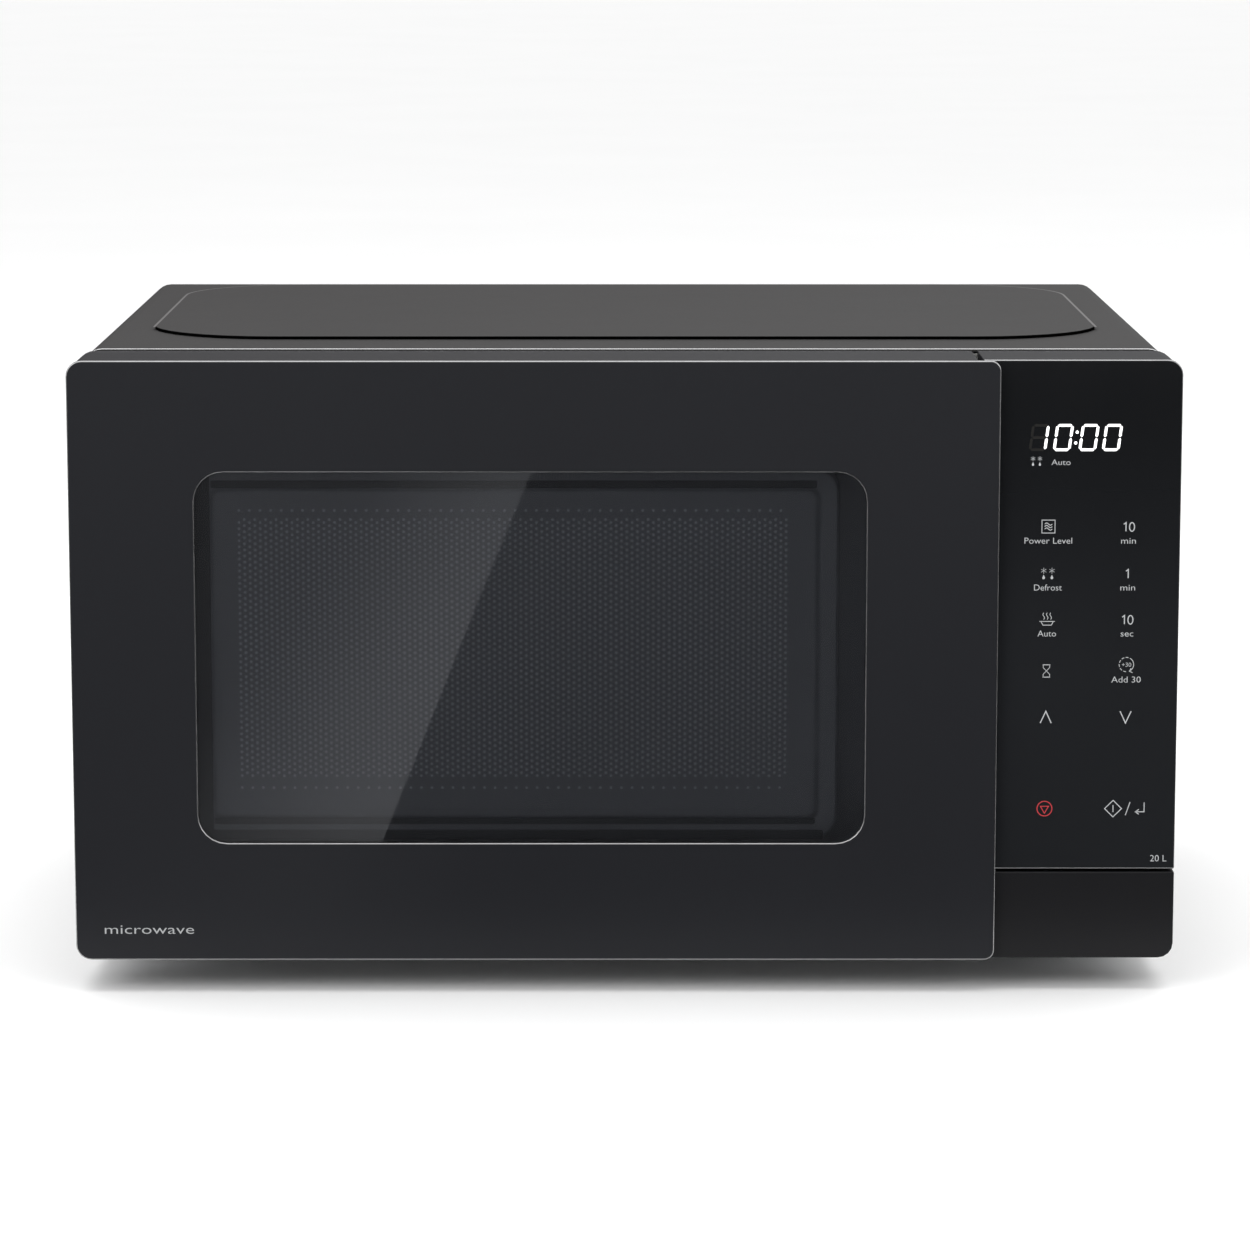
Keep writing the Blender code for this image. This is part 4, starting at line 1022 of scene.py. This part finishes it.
class OVEN_OT_screen(OvenOperator, bpy.types.Operator):
    """Make the choke pan, with the pierced screen in its stamped recess."""

    bl_idname = "oven.screen"
    bl_label = "Door screen"

    BULGE, RECESS = (-0.1748, 0.0858, 0.0605, 0.2125), (-0.1660, 0.0770, 0.0693, 0.2030)
    # Painted shadow: dark strips along the recess's left, bottom and top edges
    FOAM = (
        (-0.1746, -0.1662, 0.0625, 0.2105), (-0.1700, 0.0800, 0.0607, 0.0647),
        (-0.1658, 0.0768, 0.0670, 0.0697), (-0.1658, 0.0768, 0.2040, 0.2071),
    )

    def make(self):
        self.low, self.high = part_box("choke_pan")
        self.pan()
        self.choke_fingers()
        self.screen()
        self.paint_shadow_strips()

    def paint_shadow_strips(self):
        """Dark strips on the pan along the edges of the recess: painted shadow."""
        y, thick = -0.15804, 0.0003
        strips = Sheet()
        for box in self.FOAM:
            strips.loft(nested_rings(box, 0.0008, 3, (0, y), (0, y - thick)))
        strips.piece("painted_shadow_strips", "foam_seal", "door", "screen_black", smooth=30)

    def pan(self):
        """Sheet that steps from its turned rim to the bulge and then back into the recess."""
        rim, back = (self.low.x, self.high.x, self.low.z, self.high.z), self.high.y
        rings = nested_rings(rim, 0.003, 8, (0.0, back), (0.0, -0.1447), (-0.0003, -0.1453),
                             (-0.0009, -0.1455))
        rings += nested_rings(
            self.BULGE, 0.010, 8, (0.0012, -0.1455), (0.0004, -0.1460), (0.0, -0.1468),
            (-0.0002, -0.1566), (-0.0006, -0.1576), (-0.0016, -0.1580),
        )
        rings += nested_rings(
            self.RECESS, 0.004, 8, (0.0024, -0.1580), (0.0013, -0.1577), (0.0007, -0.1570),
            (0.0001, -0.1560), (-0.0005, -0.1553), (-0.0015, -0.1550), (-0.0032, -0.1550),
            (-0.0032, -0.1541), (0.0004, -0.1541), (0.0030, -0.1570),
        )
        rings += nested_rings(
            self.BULGE, 0.010, 8, (-0.0020, -0.1570), (-0.0010, -0.1560), (-0.0010, -0.1450),
            (0.0006, -0.1445),
        )
        rings += nested_rings(rim, 0.003, 8, (-0.0018, -0.1445), (-0.001, -0.1438), (-0.001, back))
        pan = Sheet()
        pan.loft(rings, closed=True)
        pan.piece("stamped_choke_pan", "screen_paint", "door", "screen_black", ["choke_pan"], 50)

    def choke_fingers(self):
        """Slots along the choke's turned rim leave a comb of fingers inside it."""
        y0, y1, wide, pitch, thick, inset = -0.1440, -0.1345, 0.013, 0.017, 0.0006, 0.0125
        comb = Sheet()

        x_range, z_range = (self.low.x, self.high.x), (self.low.z, self.high.z)
        for upright, (first, last), (near, far), start, spare in (
            (False, x_range, z_range, 0.016, 0.030), (True, z_range, x_range, 0.022, 0.040)
        ):
            for i in range(int((last - first - spare) / pitch)):
                a = first + start + i * pitch
                corners = ((a, y0), (a + wide, y0), (a + wide, y1), (a, y1))
                for level in (near + inset, far - inset - thick):
                    comb.loft([
                        [(w, v, u) if upright else (u, v, w) for u, v in corners]
                        for w in (level, level + thick)
                    ])
        comb.piece("choke_fingers", "screen_paint", "door", "screen_black", smooth=30)

    def screen(self):
        """The pierced field with a plain border, and the pale film behind it."""
        x0, x1, z0, z1 = -0.1548, 0.0636, 0.0814, 0.1955
        y, pitch, margin, lip = -0.1549, sizes().hole_pitch, 2, 0.0016
        step = pitch * math.sqrt(3) / 2

        def has_hole(i, j, columns, rows):
            """Every cell inside, and beyond a plain row every second one of the first and last."""
            column, row = i - margin, j - margin
            wide, high = columns - 2 * margin, rows - 2 * margin
            sparse = row in (0, high - 1) and column % 2 == 0
            return 0 <= column < wide and (1 < row < high - 2 or sparse)

        plate = Sheet()
        perforated_field(
            plate, (x0 - margin * step, x1 + margin * step),
            (z0 - margin * pitch, z1 + margin * pitch), pitch, sizes().hole_radius,
            lambda u, v: (u, y, v), has_hole,
        )
        (border,) = nested_rings(self.RECESS, 0.002 + lip, 6, (-lip, y + 0.0001))
        inside = (x0 - step * 1.2, x1 + step * 1.2, z0 - pitch * 1.1, z1 + pitch * 1.3)
        plate.bridge(plate.add(border), plate.add(rounded_ring(*inside, 0.001, y + 0.0001, 6)))
        plate.piece("pierced_screen", "screen_paint", "door", "screen_black")
        film = Sheet()
        film.loft(nested_rings(self.RECESS, 0.002 + lip, 4, (-lip, y + 0.0003), (-lip, y + 0.0005)))
        film.piece("pale_screen_film", "screen_film", "door", "screen_black", smooth=30)


class OVEN_OT_latch(OvenOperator, bpy.types.Operator):
    """Finish the hooks, the lever, the latch board, the switches and both springs."""

    bl_idname = "oven.latch"
    bl_label = "Latch"

    def make(self):
        dress("latch_hooks release_lever", "natural_plastic", 0.0003)
        dress("latch_board", "white_plastic", 0.0003)
        dress("primary_switch monitor_switch secondary_switch", "black_plastic", 0.0002)
        dress("primary_plunger monitor_plunger secondary_plunger", "red_plastic", 0.0002)
        self.spring("button_spring", "Y", "cabinet", "button_press", 0.005)
        self.spring("latch_spring", "Z", "door", "hook_lift", 0.0024)

    def spring(self, node, axis, body, joint, travel):
        """Wire wound to a spring with closed ends. The joint and its travel are not used."""
        turns, steps, wire = 7.5, 240, 0.0004
        low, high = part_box(node)
        centre, size = (low + high) / 2, high - low
        radius, length = size.x / 2 - wire, size.y if axis == "Y" else size.z
        reach = length / 2 - wire
        line = []
        for i in range(steps + 1):
            share = i / steps
            pitched = min(max((share - 0.10) / 0.80, 0.0), 1.0)
            w = 2 * reach * (0.03 + 0.94 * pitched + 0.03 * min(share * 10, 1.0)) - reach
            w = max(-reach, min(reach, w))
            angle = math.tau * turns * share
            u, v = radius * math.cos(angle), radius * math.sin(angle)
            line.append(centre + Vector((u, w, v) if axis == "Y" else (u, v, w)))
        wound = Sheet()
        wound.tube(line, wire, 8)
        coil = wound.piece(f"wound_{node}", "bright_steel", body, "spring_steel", [node], 60)
        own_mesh(coil)


class OVEN_OT_controls(OvenOperator, bpy.types.Operator):
    """Finish the control housing, the fascia and the door button."""

    bl_idname = "oven.controls"
    bl_label = "Controls"

    def make(self):
        dress("control_housing", "housing_plastic", sizes().edge)
        # the fascia's rounded edges carry a painted highlight
        dress("control_fascia", "fascia_gloss", 0.0004, 2, "bright_edge")
        dress("release_button", "button_plastic", sizes().edge, 3)
        dress("display_module", "black_plastic", 0.0004)
        dress("control_board", "circuit_board", 0.0003)


class OVEN_OT_legends(OvenOperator, bpy.types.Operator):
    """Print the fascia's signs and words, and the plain word on the door."""

    bl_idname = "oven.legends"
    bl_label = "Legends"

    LEFT, RIGHT = 0.1688, 0.2008
    FINE, THIN, STROKE, BOLD = 0.00026, 0.00028, 0.00030, 0.00036
    # Capital height as a share of the letters' size
    CAPITALS = 0.729

    def make(self):
        self.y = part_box("control_fascia")[0].y - 0.00006
        self.ink = Sheet()
        self.signs()
        self.words()
        self.ink.piece("fascia_legends", "legend_ink", "cabinet", "panel_gloss", smooth=30)
        self.stop_sign()
        self.door_word()

    def put(self, u, v):
        return (u, self.y, v)

    def line(self, points, closed=False, width=STROKE):
        self.ink.ribbon(points, width, self.put, closed)

    def letters(self, text, u, v, height, width, align="CENTER", sheet=None, y=None):
        """Plain letters on the line v, with that capital height, drawn out to that width."""
        sheet, y = sheet or self.ink, y or self.y
        curve = bpy.data.curves.new("letters", "FONT")
        curve.body = text
        curve.align_x = align
        curve.resolution_u = 3
        curve.offset = -0.006
        holder = bpy.data.objects.new("letters", curve)
        mesh = bpy.data.meshes.new_from_object(holder)
        scale = height / self.CAPITALS
        us = [vertex.co.x for vertex in mesh.vertices]
        across = width / (max(us) - min(us)) if width else scale
        flat = [(u + vertex.co.x * across, y, v + vertex.co.y * scale) for vertex in mesh.vertices]
        start = sheet.add(flat)[0]
        sheet.faces += [tuple(start + i for i in polygon.vertices) for polygon in mesh.polygons]
        bpy.data.objects.remove(holder)
        bpy.data.meshes.remove(mesh)
        bpy.data.curves.remove(curve)

    def words(self):
        left, right, small = self.LEFT, self.RIGHT, 0.0026
        for text, u, v, height, width in (
            ("Power Level", left, 0.1827, small, 0.0190), ("Defrost", left, 0.1638, small, 0.0111),
            ("Auto", left, 0.1452, small, 0.0074), ("min", right, 0.1827, small, 0.0059),
            ("min", right, 0.1638, small, 0.0059), ("sec", right, 0.1452, small, 0.0051),
            ("Add 30", right, 0.1265, small, 0.0118), ("+30", right, 0.1329, 0.0018, 0.0038),
            ("Auto", 0.1735, 0.2143, 0.0024, 0.0076),
        ):
            self.letters(text, u, v, height, width)
        self.letters("20 L", 0.2183, 0.0533, 0.0028, None, "RIGHT")
        for nought, v in ((True, 0.1827), (False, 0.1638), (True, 0.1452)):
            self.number(nought, right, v + 0.0050)

    def number(self, nought, u, v):
        """Thin figures: a one with a flag, and an oval nought after it."""
        high, pen = 0.0035, 0.00042
        stem = u - 0.0011 if nought else u + 0.0001
        self.line([(stem - 0.0009, v + high - 0.0007), (stem, v + high), (stem, v)], width=pen)
        if nought:
            oval = [(u + 0.0013 + 0.0010 * a, v + high / 2 * (1 + b)) for a, b in circle(1.0, 24)]
            self.line(oval, True, pen)

    def signs(self):
        left, right = self.LEFT, self.RIGHT
        self.power_sign(left, 0.1896)
        self.frost_sign(left, 0.1705, 1.0)
        self.frost_sign(0.16365, 0.21575, 0.83)
        self.dish_sign(left, 0.1522)
        self.hourglass(left, 0.1312)
        self.thirty_sign(right, 0.1338)
        for u, peak, foot in ((left, 0.1148, 0.1100), (right, 0.1100, 0.1148)):
            self.line([(u - 0.0022, foot), (u, peak), (u + 0.0022, foot)], width=0.00042)
        self.start_sign(0.1964, 0.0750)

    def power_sign(self, u, v):
        """A box of waves."""
        half, wide, steps = 0.0026, 0.0030, 12
        box = ((-half, -half), (half, -half), (half, half), (-half, half))
        self.line([(u + a, v + b) for a, b in box], True)
        for level in (-0.0010, 0, 0.0010):
            wave = [(wide * (i / steps - 0.5), 0.00046 * math.sin(math.tau * i / steps))
                    for i in range(steps + 1)]
            self.line([(u + a, v + level + b) for a, b in wave], width=0.00032)

    def frost_sign(self, u, v, scale):
        """Snow crystals over drops."""
        for side in (-1, 1):
            centre = u + side * 0.00165 * scale
            top, base = v + 0.0013 * scale, v - 0.0014 * scale
            for degrees in (30, 90, 150):
                a = math.radians(degrees)
                du, dv = 0.00120 * scale * math.cos(a), 0.00120 * scale * math.sin(a)
                self.line([(centre - du, top - dv), (centre + du, top + dv)], width=0.00017)
            drop = [(centre, base + 0.0011 * scale)]
            drop += arc(centre, base - 0.0002 * scale, 0.00055 * scale, 20, -200, 10)
            self.ink.cap(self.ink.add([self.put(*p) for p in drop]))

    def dish_sign(self, u, v):
        """A steaming bowl."""
        steps = 10
        for k in (-1, 0, 1):
            steam = [
                (u + k * 0.0014 + 0.00032 * math.sin(math.tau * i / steps),
                 v - 0.0001 + 0.0027 * i / steps) for i in range(steps + 1)
            ]
            self.line(steam, width=self.FINE)
        rim, foot = v - 0.0009, v - 0.0024
        self.line([(u - 0.0031, rim), (u + 0.0031, rim)])
        self.line([(u - 0.0025, rim), (u - 0.0017, foot), (u + 0.0017, foot), (u + 0.0025, rim)])

    def hourglass(self, u, v):
        half, high = 0.0013, 0.0025
        for end in (high, -high):
            waist = v + end * 0.55
            self.line([(u - half * 1.2, v + end), (u + half * 1.2, v + end)])
            self.line([(u - half, v + end), (u - half, waist), (u, v), (u + half, waist),
                       (u + half, v + end)], width=0.00024)

    def thirty_sign(self, u, v):
        """A clock face: dashes on its left, and on its right a stroke that ends in an arrow."""
        r, thin = 0.0029, self.THIN
        for start in range(75, 279, 34):
            self.line(arc(u, v, r, start, start + 22, 4), width=thin)
        self.line(arc(u, v, r, 62, -62), width=thin)
        head = ((0.0019, -0.0015), (0.0012, -0.0027), (0.0025, -0.0033))
        self.line([(u + a, v + b) for a, b in head], width=thin)

    def start_sign(self, u, v):
        """An upright bar in a diamond, a slash, and a return arrow."""
        r, bar, bold = 0.0034, 0.0014, self.BOLD
        arm, low, tip = u + 0.0125, v - 0.0013, u + 0.0090
        self.line([(u - r, v), (u, v + r), (u + r, v), (u, v - r)], True, bold)
        self.line([(u, v - bar), (u, v + bar)], width=bold)
        self.line([(u + 0.0050, v - 0.0027), (u + 0.0068, v + 0.0027)], width=0.00034)
        self.line([(arm, v + 0.0025), (arm, low), (tip + 0.0001, low)], width=bold)
        self.line([(tip + 0.0014, low + 0.0010), (tip, low), (tip + 0.0014, low - 0.0010)],
                  width=bold)

    def stop_sign(self):
        """A triangle in a ring."""
        u, v = self.LEFT, 0.0750
        red = Sheet()
        red.ribbon(arc(u, v, 0.0030, 0, 350, 40), 0.00040, self.put, True)
        red.ribbon(arc(u, v, 0.0019, 30, 270, 2), self.BOLD, self.put, True)
        red.piece("stop_sign", "stop_ink", "cabinet", "panel_gloss", smooth=30)

    def door_word(self):
        """A plain word in the door's lower corner, which says what the appliance is."""
        word = Sheet()
        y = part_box("door_front_cover")[0].y - 0.00001
        self.letters("microwave", -0.1919, 0.0243, 0.0040, 0.036, sheet=word, y=y)
        word.piece("door_word", "mark_ink", "door", "door_black", smooth=30)


class OVEN_OT_display(OvenOperator, bpy.types.Operator):
    """Make the lit and the dark segments of the clock."""

    bl_idname = "oven.display"
    bl_label = "Display"

    # The segments of each digit, its left end, and whether they are lit
    DIGITS = (
        ("bc", 0.1604, True), ("abcdef", 0.1700, True), ("abcdef", 0.1802, True),
        ("abcdef", 0.1895, True), ("adefg", 0.1604, False),
    )
    BASE, LEAN = 0.2199, 0.13

    def make(self):
        self.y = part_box("control_fascia")[0].y - 0.00005
        high = sizes().digit_height
        lit, dark = Sheet(), Sheet()
        for names, left, is_lit in self.DIGITS:
            for name in names:
                self.segment(lit if is_lit else dark, name, left, high)
        for v in (high * 0.30, high * 0.70):
            dot = arc(0.1787 + v * self.LEAN, self.BASE + v, 0.00062, 0, 345, 23)
            lit.cap(lit.add([(a, self.y, b) for a, b in dot]))
        lit.piece("lit_segments", "lit_segment", "cabinet", "panel_gloss", smooth=30)
        dark.piece("dark_segments", "dark_segment", "cabinet", "panel_gloss", smooth=30)

    def segment(self, sheet, name, left, high):
        """One bar of a digit, its ends cut at an angle, leaning to the right."""
        wide, half, gap = 0.0070, 0.000525, 0.00016
        middle = high / 2
        level = {"a": high - half, "g": middle, "d": half}
        upright = {
            "f": (half, middle, high), "e": (half, 0.0, middle),
            "b": (wide - half, middle, high), "c": (wide - half, 0.0, middle),
        }
        if name in level:
            v, a, b = level[name], half + gap, wide - half - gap
            bar = [(a, v), (a + half, v - half), (b - half, v - half), (b, v),
                   (b - half, v + half), (a + half, v + half)]
        else:
            u, a, b = upright[name]
            a, b = a + gap + (0.0 if a else half), b - gap - (half if b == high else 0.0)
            bar = [(u, a), (u + half, a + half), (u + half, b - half), (u, b),
                   (u - half, b - half), (u - half, a + half)]
        sheet.cap(sheet.add([(left + u + v * self.LEAN, self.y, self.BASE + v) for u, v in bar]))


class OVEN_OT_power(OvenOperator, bpy.types.Operator):
    """Finish the magnetron, the transformer, the capacitor, the lamp and the smaller pieces."""

    bl_idname = "oven.power"
    bl_label = "Power unit"

    def make(self):
        dress("waveguide magnetron_yoke magnetron_filter", "zinc_sheet", 0.0003)
        dress("magnetron_tube hv_capacitor", "aluminium", 0.0002)
        dress("transformer_core", "laminated_core", 0.0004)
        dress("transformer_winding", "copper_winding", 0.0008)
        dress("noise_filter_board", "circuit_board", 0.0003)
        dress("lamp_holder", "white_plastic", 0.0004)
        dress("thermal_cutout", "black_plastic", 0.0003)
        dress("cavity_lamp", "lamp_glass", 0.0)
        self.gland()

    def gland(self):
        """Strain-relief bush with a ribbed collar."""
        low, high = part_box("cord_gland")
        inner, outer = (corner.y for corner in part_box("back_panel"))
        bore, neck, collar = 0.0042, 0.0076, 0.0100
        profile = [
            (bore, low.y), (0.0092, low.y), (collar, low.y + 0.0008), (collar, inner - 0.0003),
            (neck, inner - 0.0003), (neck, outer + 0.0003), (collar, outer + 0.0003),
            (collar, outer + 0.0010), (0.0092, high.y - 0.0004), (0.0062, high.y),
            (0.0050, high.y - 0.0002), (bore, high.y - 0.0010),
        ]
        bush = Sheet()
        bush.turn(profile, 64, along("Y", ((low.x + high.x) / 2, 0, (low.z + high.z) / 2)))
        bush.piece("cord_bush", "foot_rubber", "cabinet", "rubber", ["cord_gland"], 40)


class OVEN_OT_fan(OvenOperator, bpy.types.Operator):
    """Finish the fan's shroud and motor, and make its twisted blades."""

    bl_idname = "oven.fan"
    bl_label = "Fan"

    BLADES = 5
    HUB = (
        (0, 0.1120), (0.0020, 0.1120), (0.0020, 0.1412), (0.0104, 0.1412), (0.0110, 0.1418),
        (0.0110, 0.1560), (0.0100, 0.1572), (0.0070, 0.1575), (0, 0.1575),
    )

    def make(self):
        dress("fan_shroud", "natural_plastic", 0.0004)
        dress("fan_motor", "laminated_core", 0.0004)
        centre = Vector((0.1630, 0.0, 0.1450))
        reach = min(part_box("fan_blade")[1].z - centre.z, 0.043)
        blades = Sheet()
        blades.turn(self.HUB, 48, along("Y", centre))
        for i in range(self.BLADES):
            self.blade(blades, centre, math.tau / self.BLADES * i, 0.0100, reach)
        blades.piece("fan_impeller", "white_plastic", "fan", "white_plastic", ["fan_blade"], 45)

    def blade(self, sheet, centre, root, near, far):
        """A thin curved vane, steeper at its root than at its tip."""
        spans, chord, thick, middle = 8, 10, 0.0009, 0.1493
        rings = []
        for s in range(spans + 1):
            share = s / spans
            radius = near + (far - near) * share
            pitch = math.radians(42 - 14 * share)
            length = 0.016 + 0.006 * math.sin(math.pi * share * 0.7)
            upper, lower = [], []
            for c in range(chord + 1):
                t = c / chord - 0.5
                camber = 0.0022 * (1 - (2 * t) ** 2)
                y = middle + length * t * math.sin(pitch) * 0.95 + camber * 0.4
                angle = root + (length * t * math.cos(pitch) + camber) / max(radius, 0.018)
                x, z = centre.x + radius * math.cos(angle), centre.z + radius * math.sin(angle)
                upper.append((x, y + thick / 2, z))
                lower.append((x, y - thick / 2, z))
            rings.append(upper + lower[::-1])
        sheet.loft(rings)


# --- studio ------------------------------------------------------------------------------------


class OVEN_OT_stage(OvenOperator, bpy.types.Operator):
    """Set up the pale floor, the soft lights, the cards and the camera."""

    bl_idname = "oven.stage"
    bl_label = "Studio"

    # Name, place, aim, side in metres, power in watts
    LIGHTS = (
        ("overhead", (0.0, 0.2, 2.2), (0.0, 0.0, 0.10), 2.4, 34.0),
        ("front_left", (-1.9, -2.3, 1.7), (0.0, 0.0, 0.12), 1.4, 18.0),
        ("front_right", (2.1, -2.1, 1.4), (0.0, 0.0, 0.12), 1.2, 10.0),
    )

    def make(self):
        self.floor()
        self.dark_card()
        self.light_card()
        self.grey_card()
        for light in self.LIGHTS:
            self.light(*light)
        self.backdrop()
        self.camera()

    def link(self, name, data):
        obj = bpy.data.objects.new(name, data)
        bpy.context.scene.collection.objects.link(obj)
        return obj

    def plane(self, name, corners, material):
        mesh = bpy.data.meshes.new(name)
        mesh.from_pydata(corners, [], [tuple(range(len(corners)))])
        mesh.materials.append(material)
        obj = self.link(name, mesh)
        return obj

    def level(self, name, x0, x1, y0, y1, z, material):
        return self.plane(name, [(x0, y0, z), (x1, y0, z), (x1, y1, z), (x0, y1, z)], material)

    def only_in_gloss(self, card):
        for rays in ("camera", "diffuse", "shadow", "transmission"):
            setattr(card, f"visible_{rays}", False)

    def floor(self):
        s = Shader("pale_floor")
        soft = s.noise(3.0, 2.0)
        s.coat(s.mix(soft, (0.94, 0.94, 0.94), (0.97, 0.97, 0.97)), 0.80 + soft * 0.08)
        self.level("floor", -40, 40, -40, 40, 0, s.material)

    def dark_card(self):
        """On the floor in front."""
        s = Shader("dark_card", Roughness=1.0, Specular_IOR_Level=0.0)
        s.coat(s.mix(s.noise(2.0), (0.0, 0.0, 0.0), (0.004, 0.004, 0.004)))
        self.only_in_gloss(self.level("dark_card", -2.2, 2.2, -3.2, -0.26, 0.002, s.material))

    def light_card(self):
        """On the floor in front. Its slanted edge makes the diagonal in the window."""
        near, far = Vector((-0.1127, -0.4194)), Vector((-0.0701, -1.7373))
        slope = (far.x - near.x) / (far.y - near.y)
        s = Shader("light_card", (0.0, 0.0, 0.0), Roughness=1.0, Emission_Strength=1.0)
        x, y = s.across("X"), s.across("Y")
        edge = near.x + (y - near.y) * slope
        fade = 1 - (edge - x).smooth(0.0, 0.135)
        bright = s.mix(y.smooth(-1.8, -0.4), (0.345, 0.35, 0.36), (0.545, 0.55, 0.565))
        s.set(Emission_Color=s.mix(fade, (0.03, 0.03, 0.032), bright))
        left, z, rows = -0.9, 0.004, (-0.27, -2.6)
        (a, y0), (b, y1) = [(near.x + (row - near.y) * slope, row) for row in rows]
        corners = [(a, y0, z), (left, y0, z), (left, y1, z), (b, y1, z)]
        self.only_in_gloss(self.plane("light_card", corners, s.material))

    def grey_card(self):
        """Upright at the rear, brighter to its right."""
        s = Shader("grey_card", (0.0, 0.0, 0.0), Roughness=1.0, Emission_Strength=1.0)
        across = s.across("X").smooth(-1.2, 1.2)
        s.set(Emission_Color=s.mix(across, (0.155, 0.147, 0.150), (0.37, 0.37, 0.37)))
        corners = [(-6, 4, 0.01), (6, 4, 0.01), (6, 4, 3.4), (-6, 4, 3.4)]
        self.only_in_gloss(self.plane("grey_card", corners, s.material))

    def light(self, name, at, towards, side, power):
        data = bpy.data.lights.new(name, "AREA")
        data.shape = "SQUARE"
        data.size, data.energy = side, power
        obj = self.link(name, data)
        obj.location = at
        obj.rotation_mode = "QUATERNION"
        obj.rotation_quaternion = (Vector(towards) - Vector(at)).to_track_quat("-Z", "Y")

    def backdrop(self):
        """An even white surround."""
        world = bpy.data.worlds.new("white_surround")
        world.use_nodes = True
        background = world.node_tree.nodes["Background"]
        background.inputs["Color"].default_value = (1.0, 1.0, 1.0, 1.0)
        background.inputs["Strength"].default_value = 1.0
        bpy.context.scene.world = world
        bpy.context.scene.view_settings.view_transform = "Standard"

    def camera(self):
        data = bpy.data.cameras.new("camera")
        data.lens, data.sensor_width = 135.85, 36.0
        data.clip_start, data.clip_end = 0.05, 60.0
        obj = self.link("camera", data)
        obj.location = (0.0, -2.0283, 0.4512)
        obj.rotation_euler = (math.radians(90 - 9.192), 0.0, 0.0)
        bpy.context.scene.camera = obj


# --- panel and registration --------------------------------------------------------------------

OPERATORS = (
    OVEN_OT_cabinet, OVEN_OT_fasteners, OVEN_OT_cavity, OVEN_OT_turntable, OVEN_OT_door,
    OVEN_OT_screen, OVEN_OT_latch, OVEN_OT_controls, OVEN_OT_legends, OVEN_OT_display,
    OVEN_OT_power, OVEN_OT_fan, OVEN_OT_stage,
)


class OVEN_PT_panel(bpy.types.Panel):
    """Lists the oven's pieces, sizes and colours."""

    bl_label = "Microwave Oven"
    bl_idname = "OVEN_PT_panel"
    bl_space_type = "VIEW_3D"
    bl_region_type = "UI"
    bl_category = "Oven"

    def draw(self, context):
        for operator in OPERATORS:
            self.layout.operator(operator.bl_idname)
        for group in (context.scene.oven_sizes, context.scene.oven_colours):
            box = self.layout.box()
            for name in group.bl_rna.properties.keys():
                if name not in ("rna_type", "name"):
                    box.prop(group, name)


CLASSES = (OvenColours, OvenSizes, *OPERATORS, OVEN_PT_panel)


def register():
    for cls in CLASSES:
        bpy.utils.register_class(cls)
    bpy.types.Scene.oven_colours = PointerProperty(type=OvenColours)
    bpy.types.Scene.oven_sizes = PointerProperty(type=OvenSizes)


def unregister():
    del bpy.types.Scene.oven_sizes
    del bpy.types.Scene.oven_colours
    for cls in reversed(CLASSES):
        bpy.utils.unregister_class(cls)


def main():
    register()
    make_finishes()
    for operator in OPERATORS:
        getattr(bpy.ops.oven, operator.bl_idname.split(".")[1])()


if __name__ == "__main__":
    main()
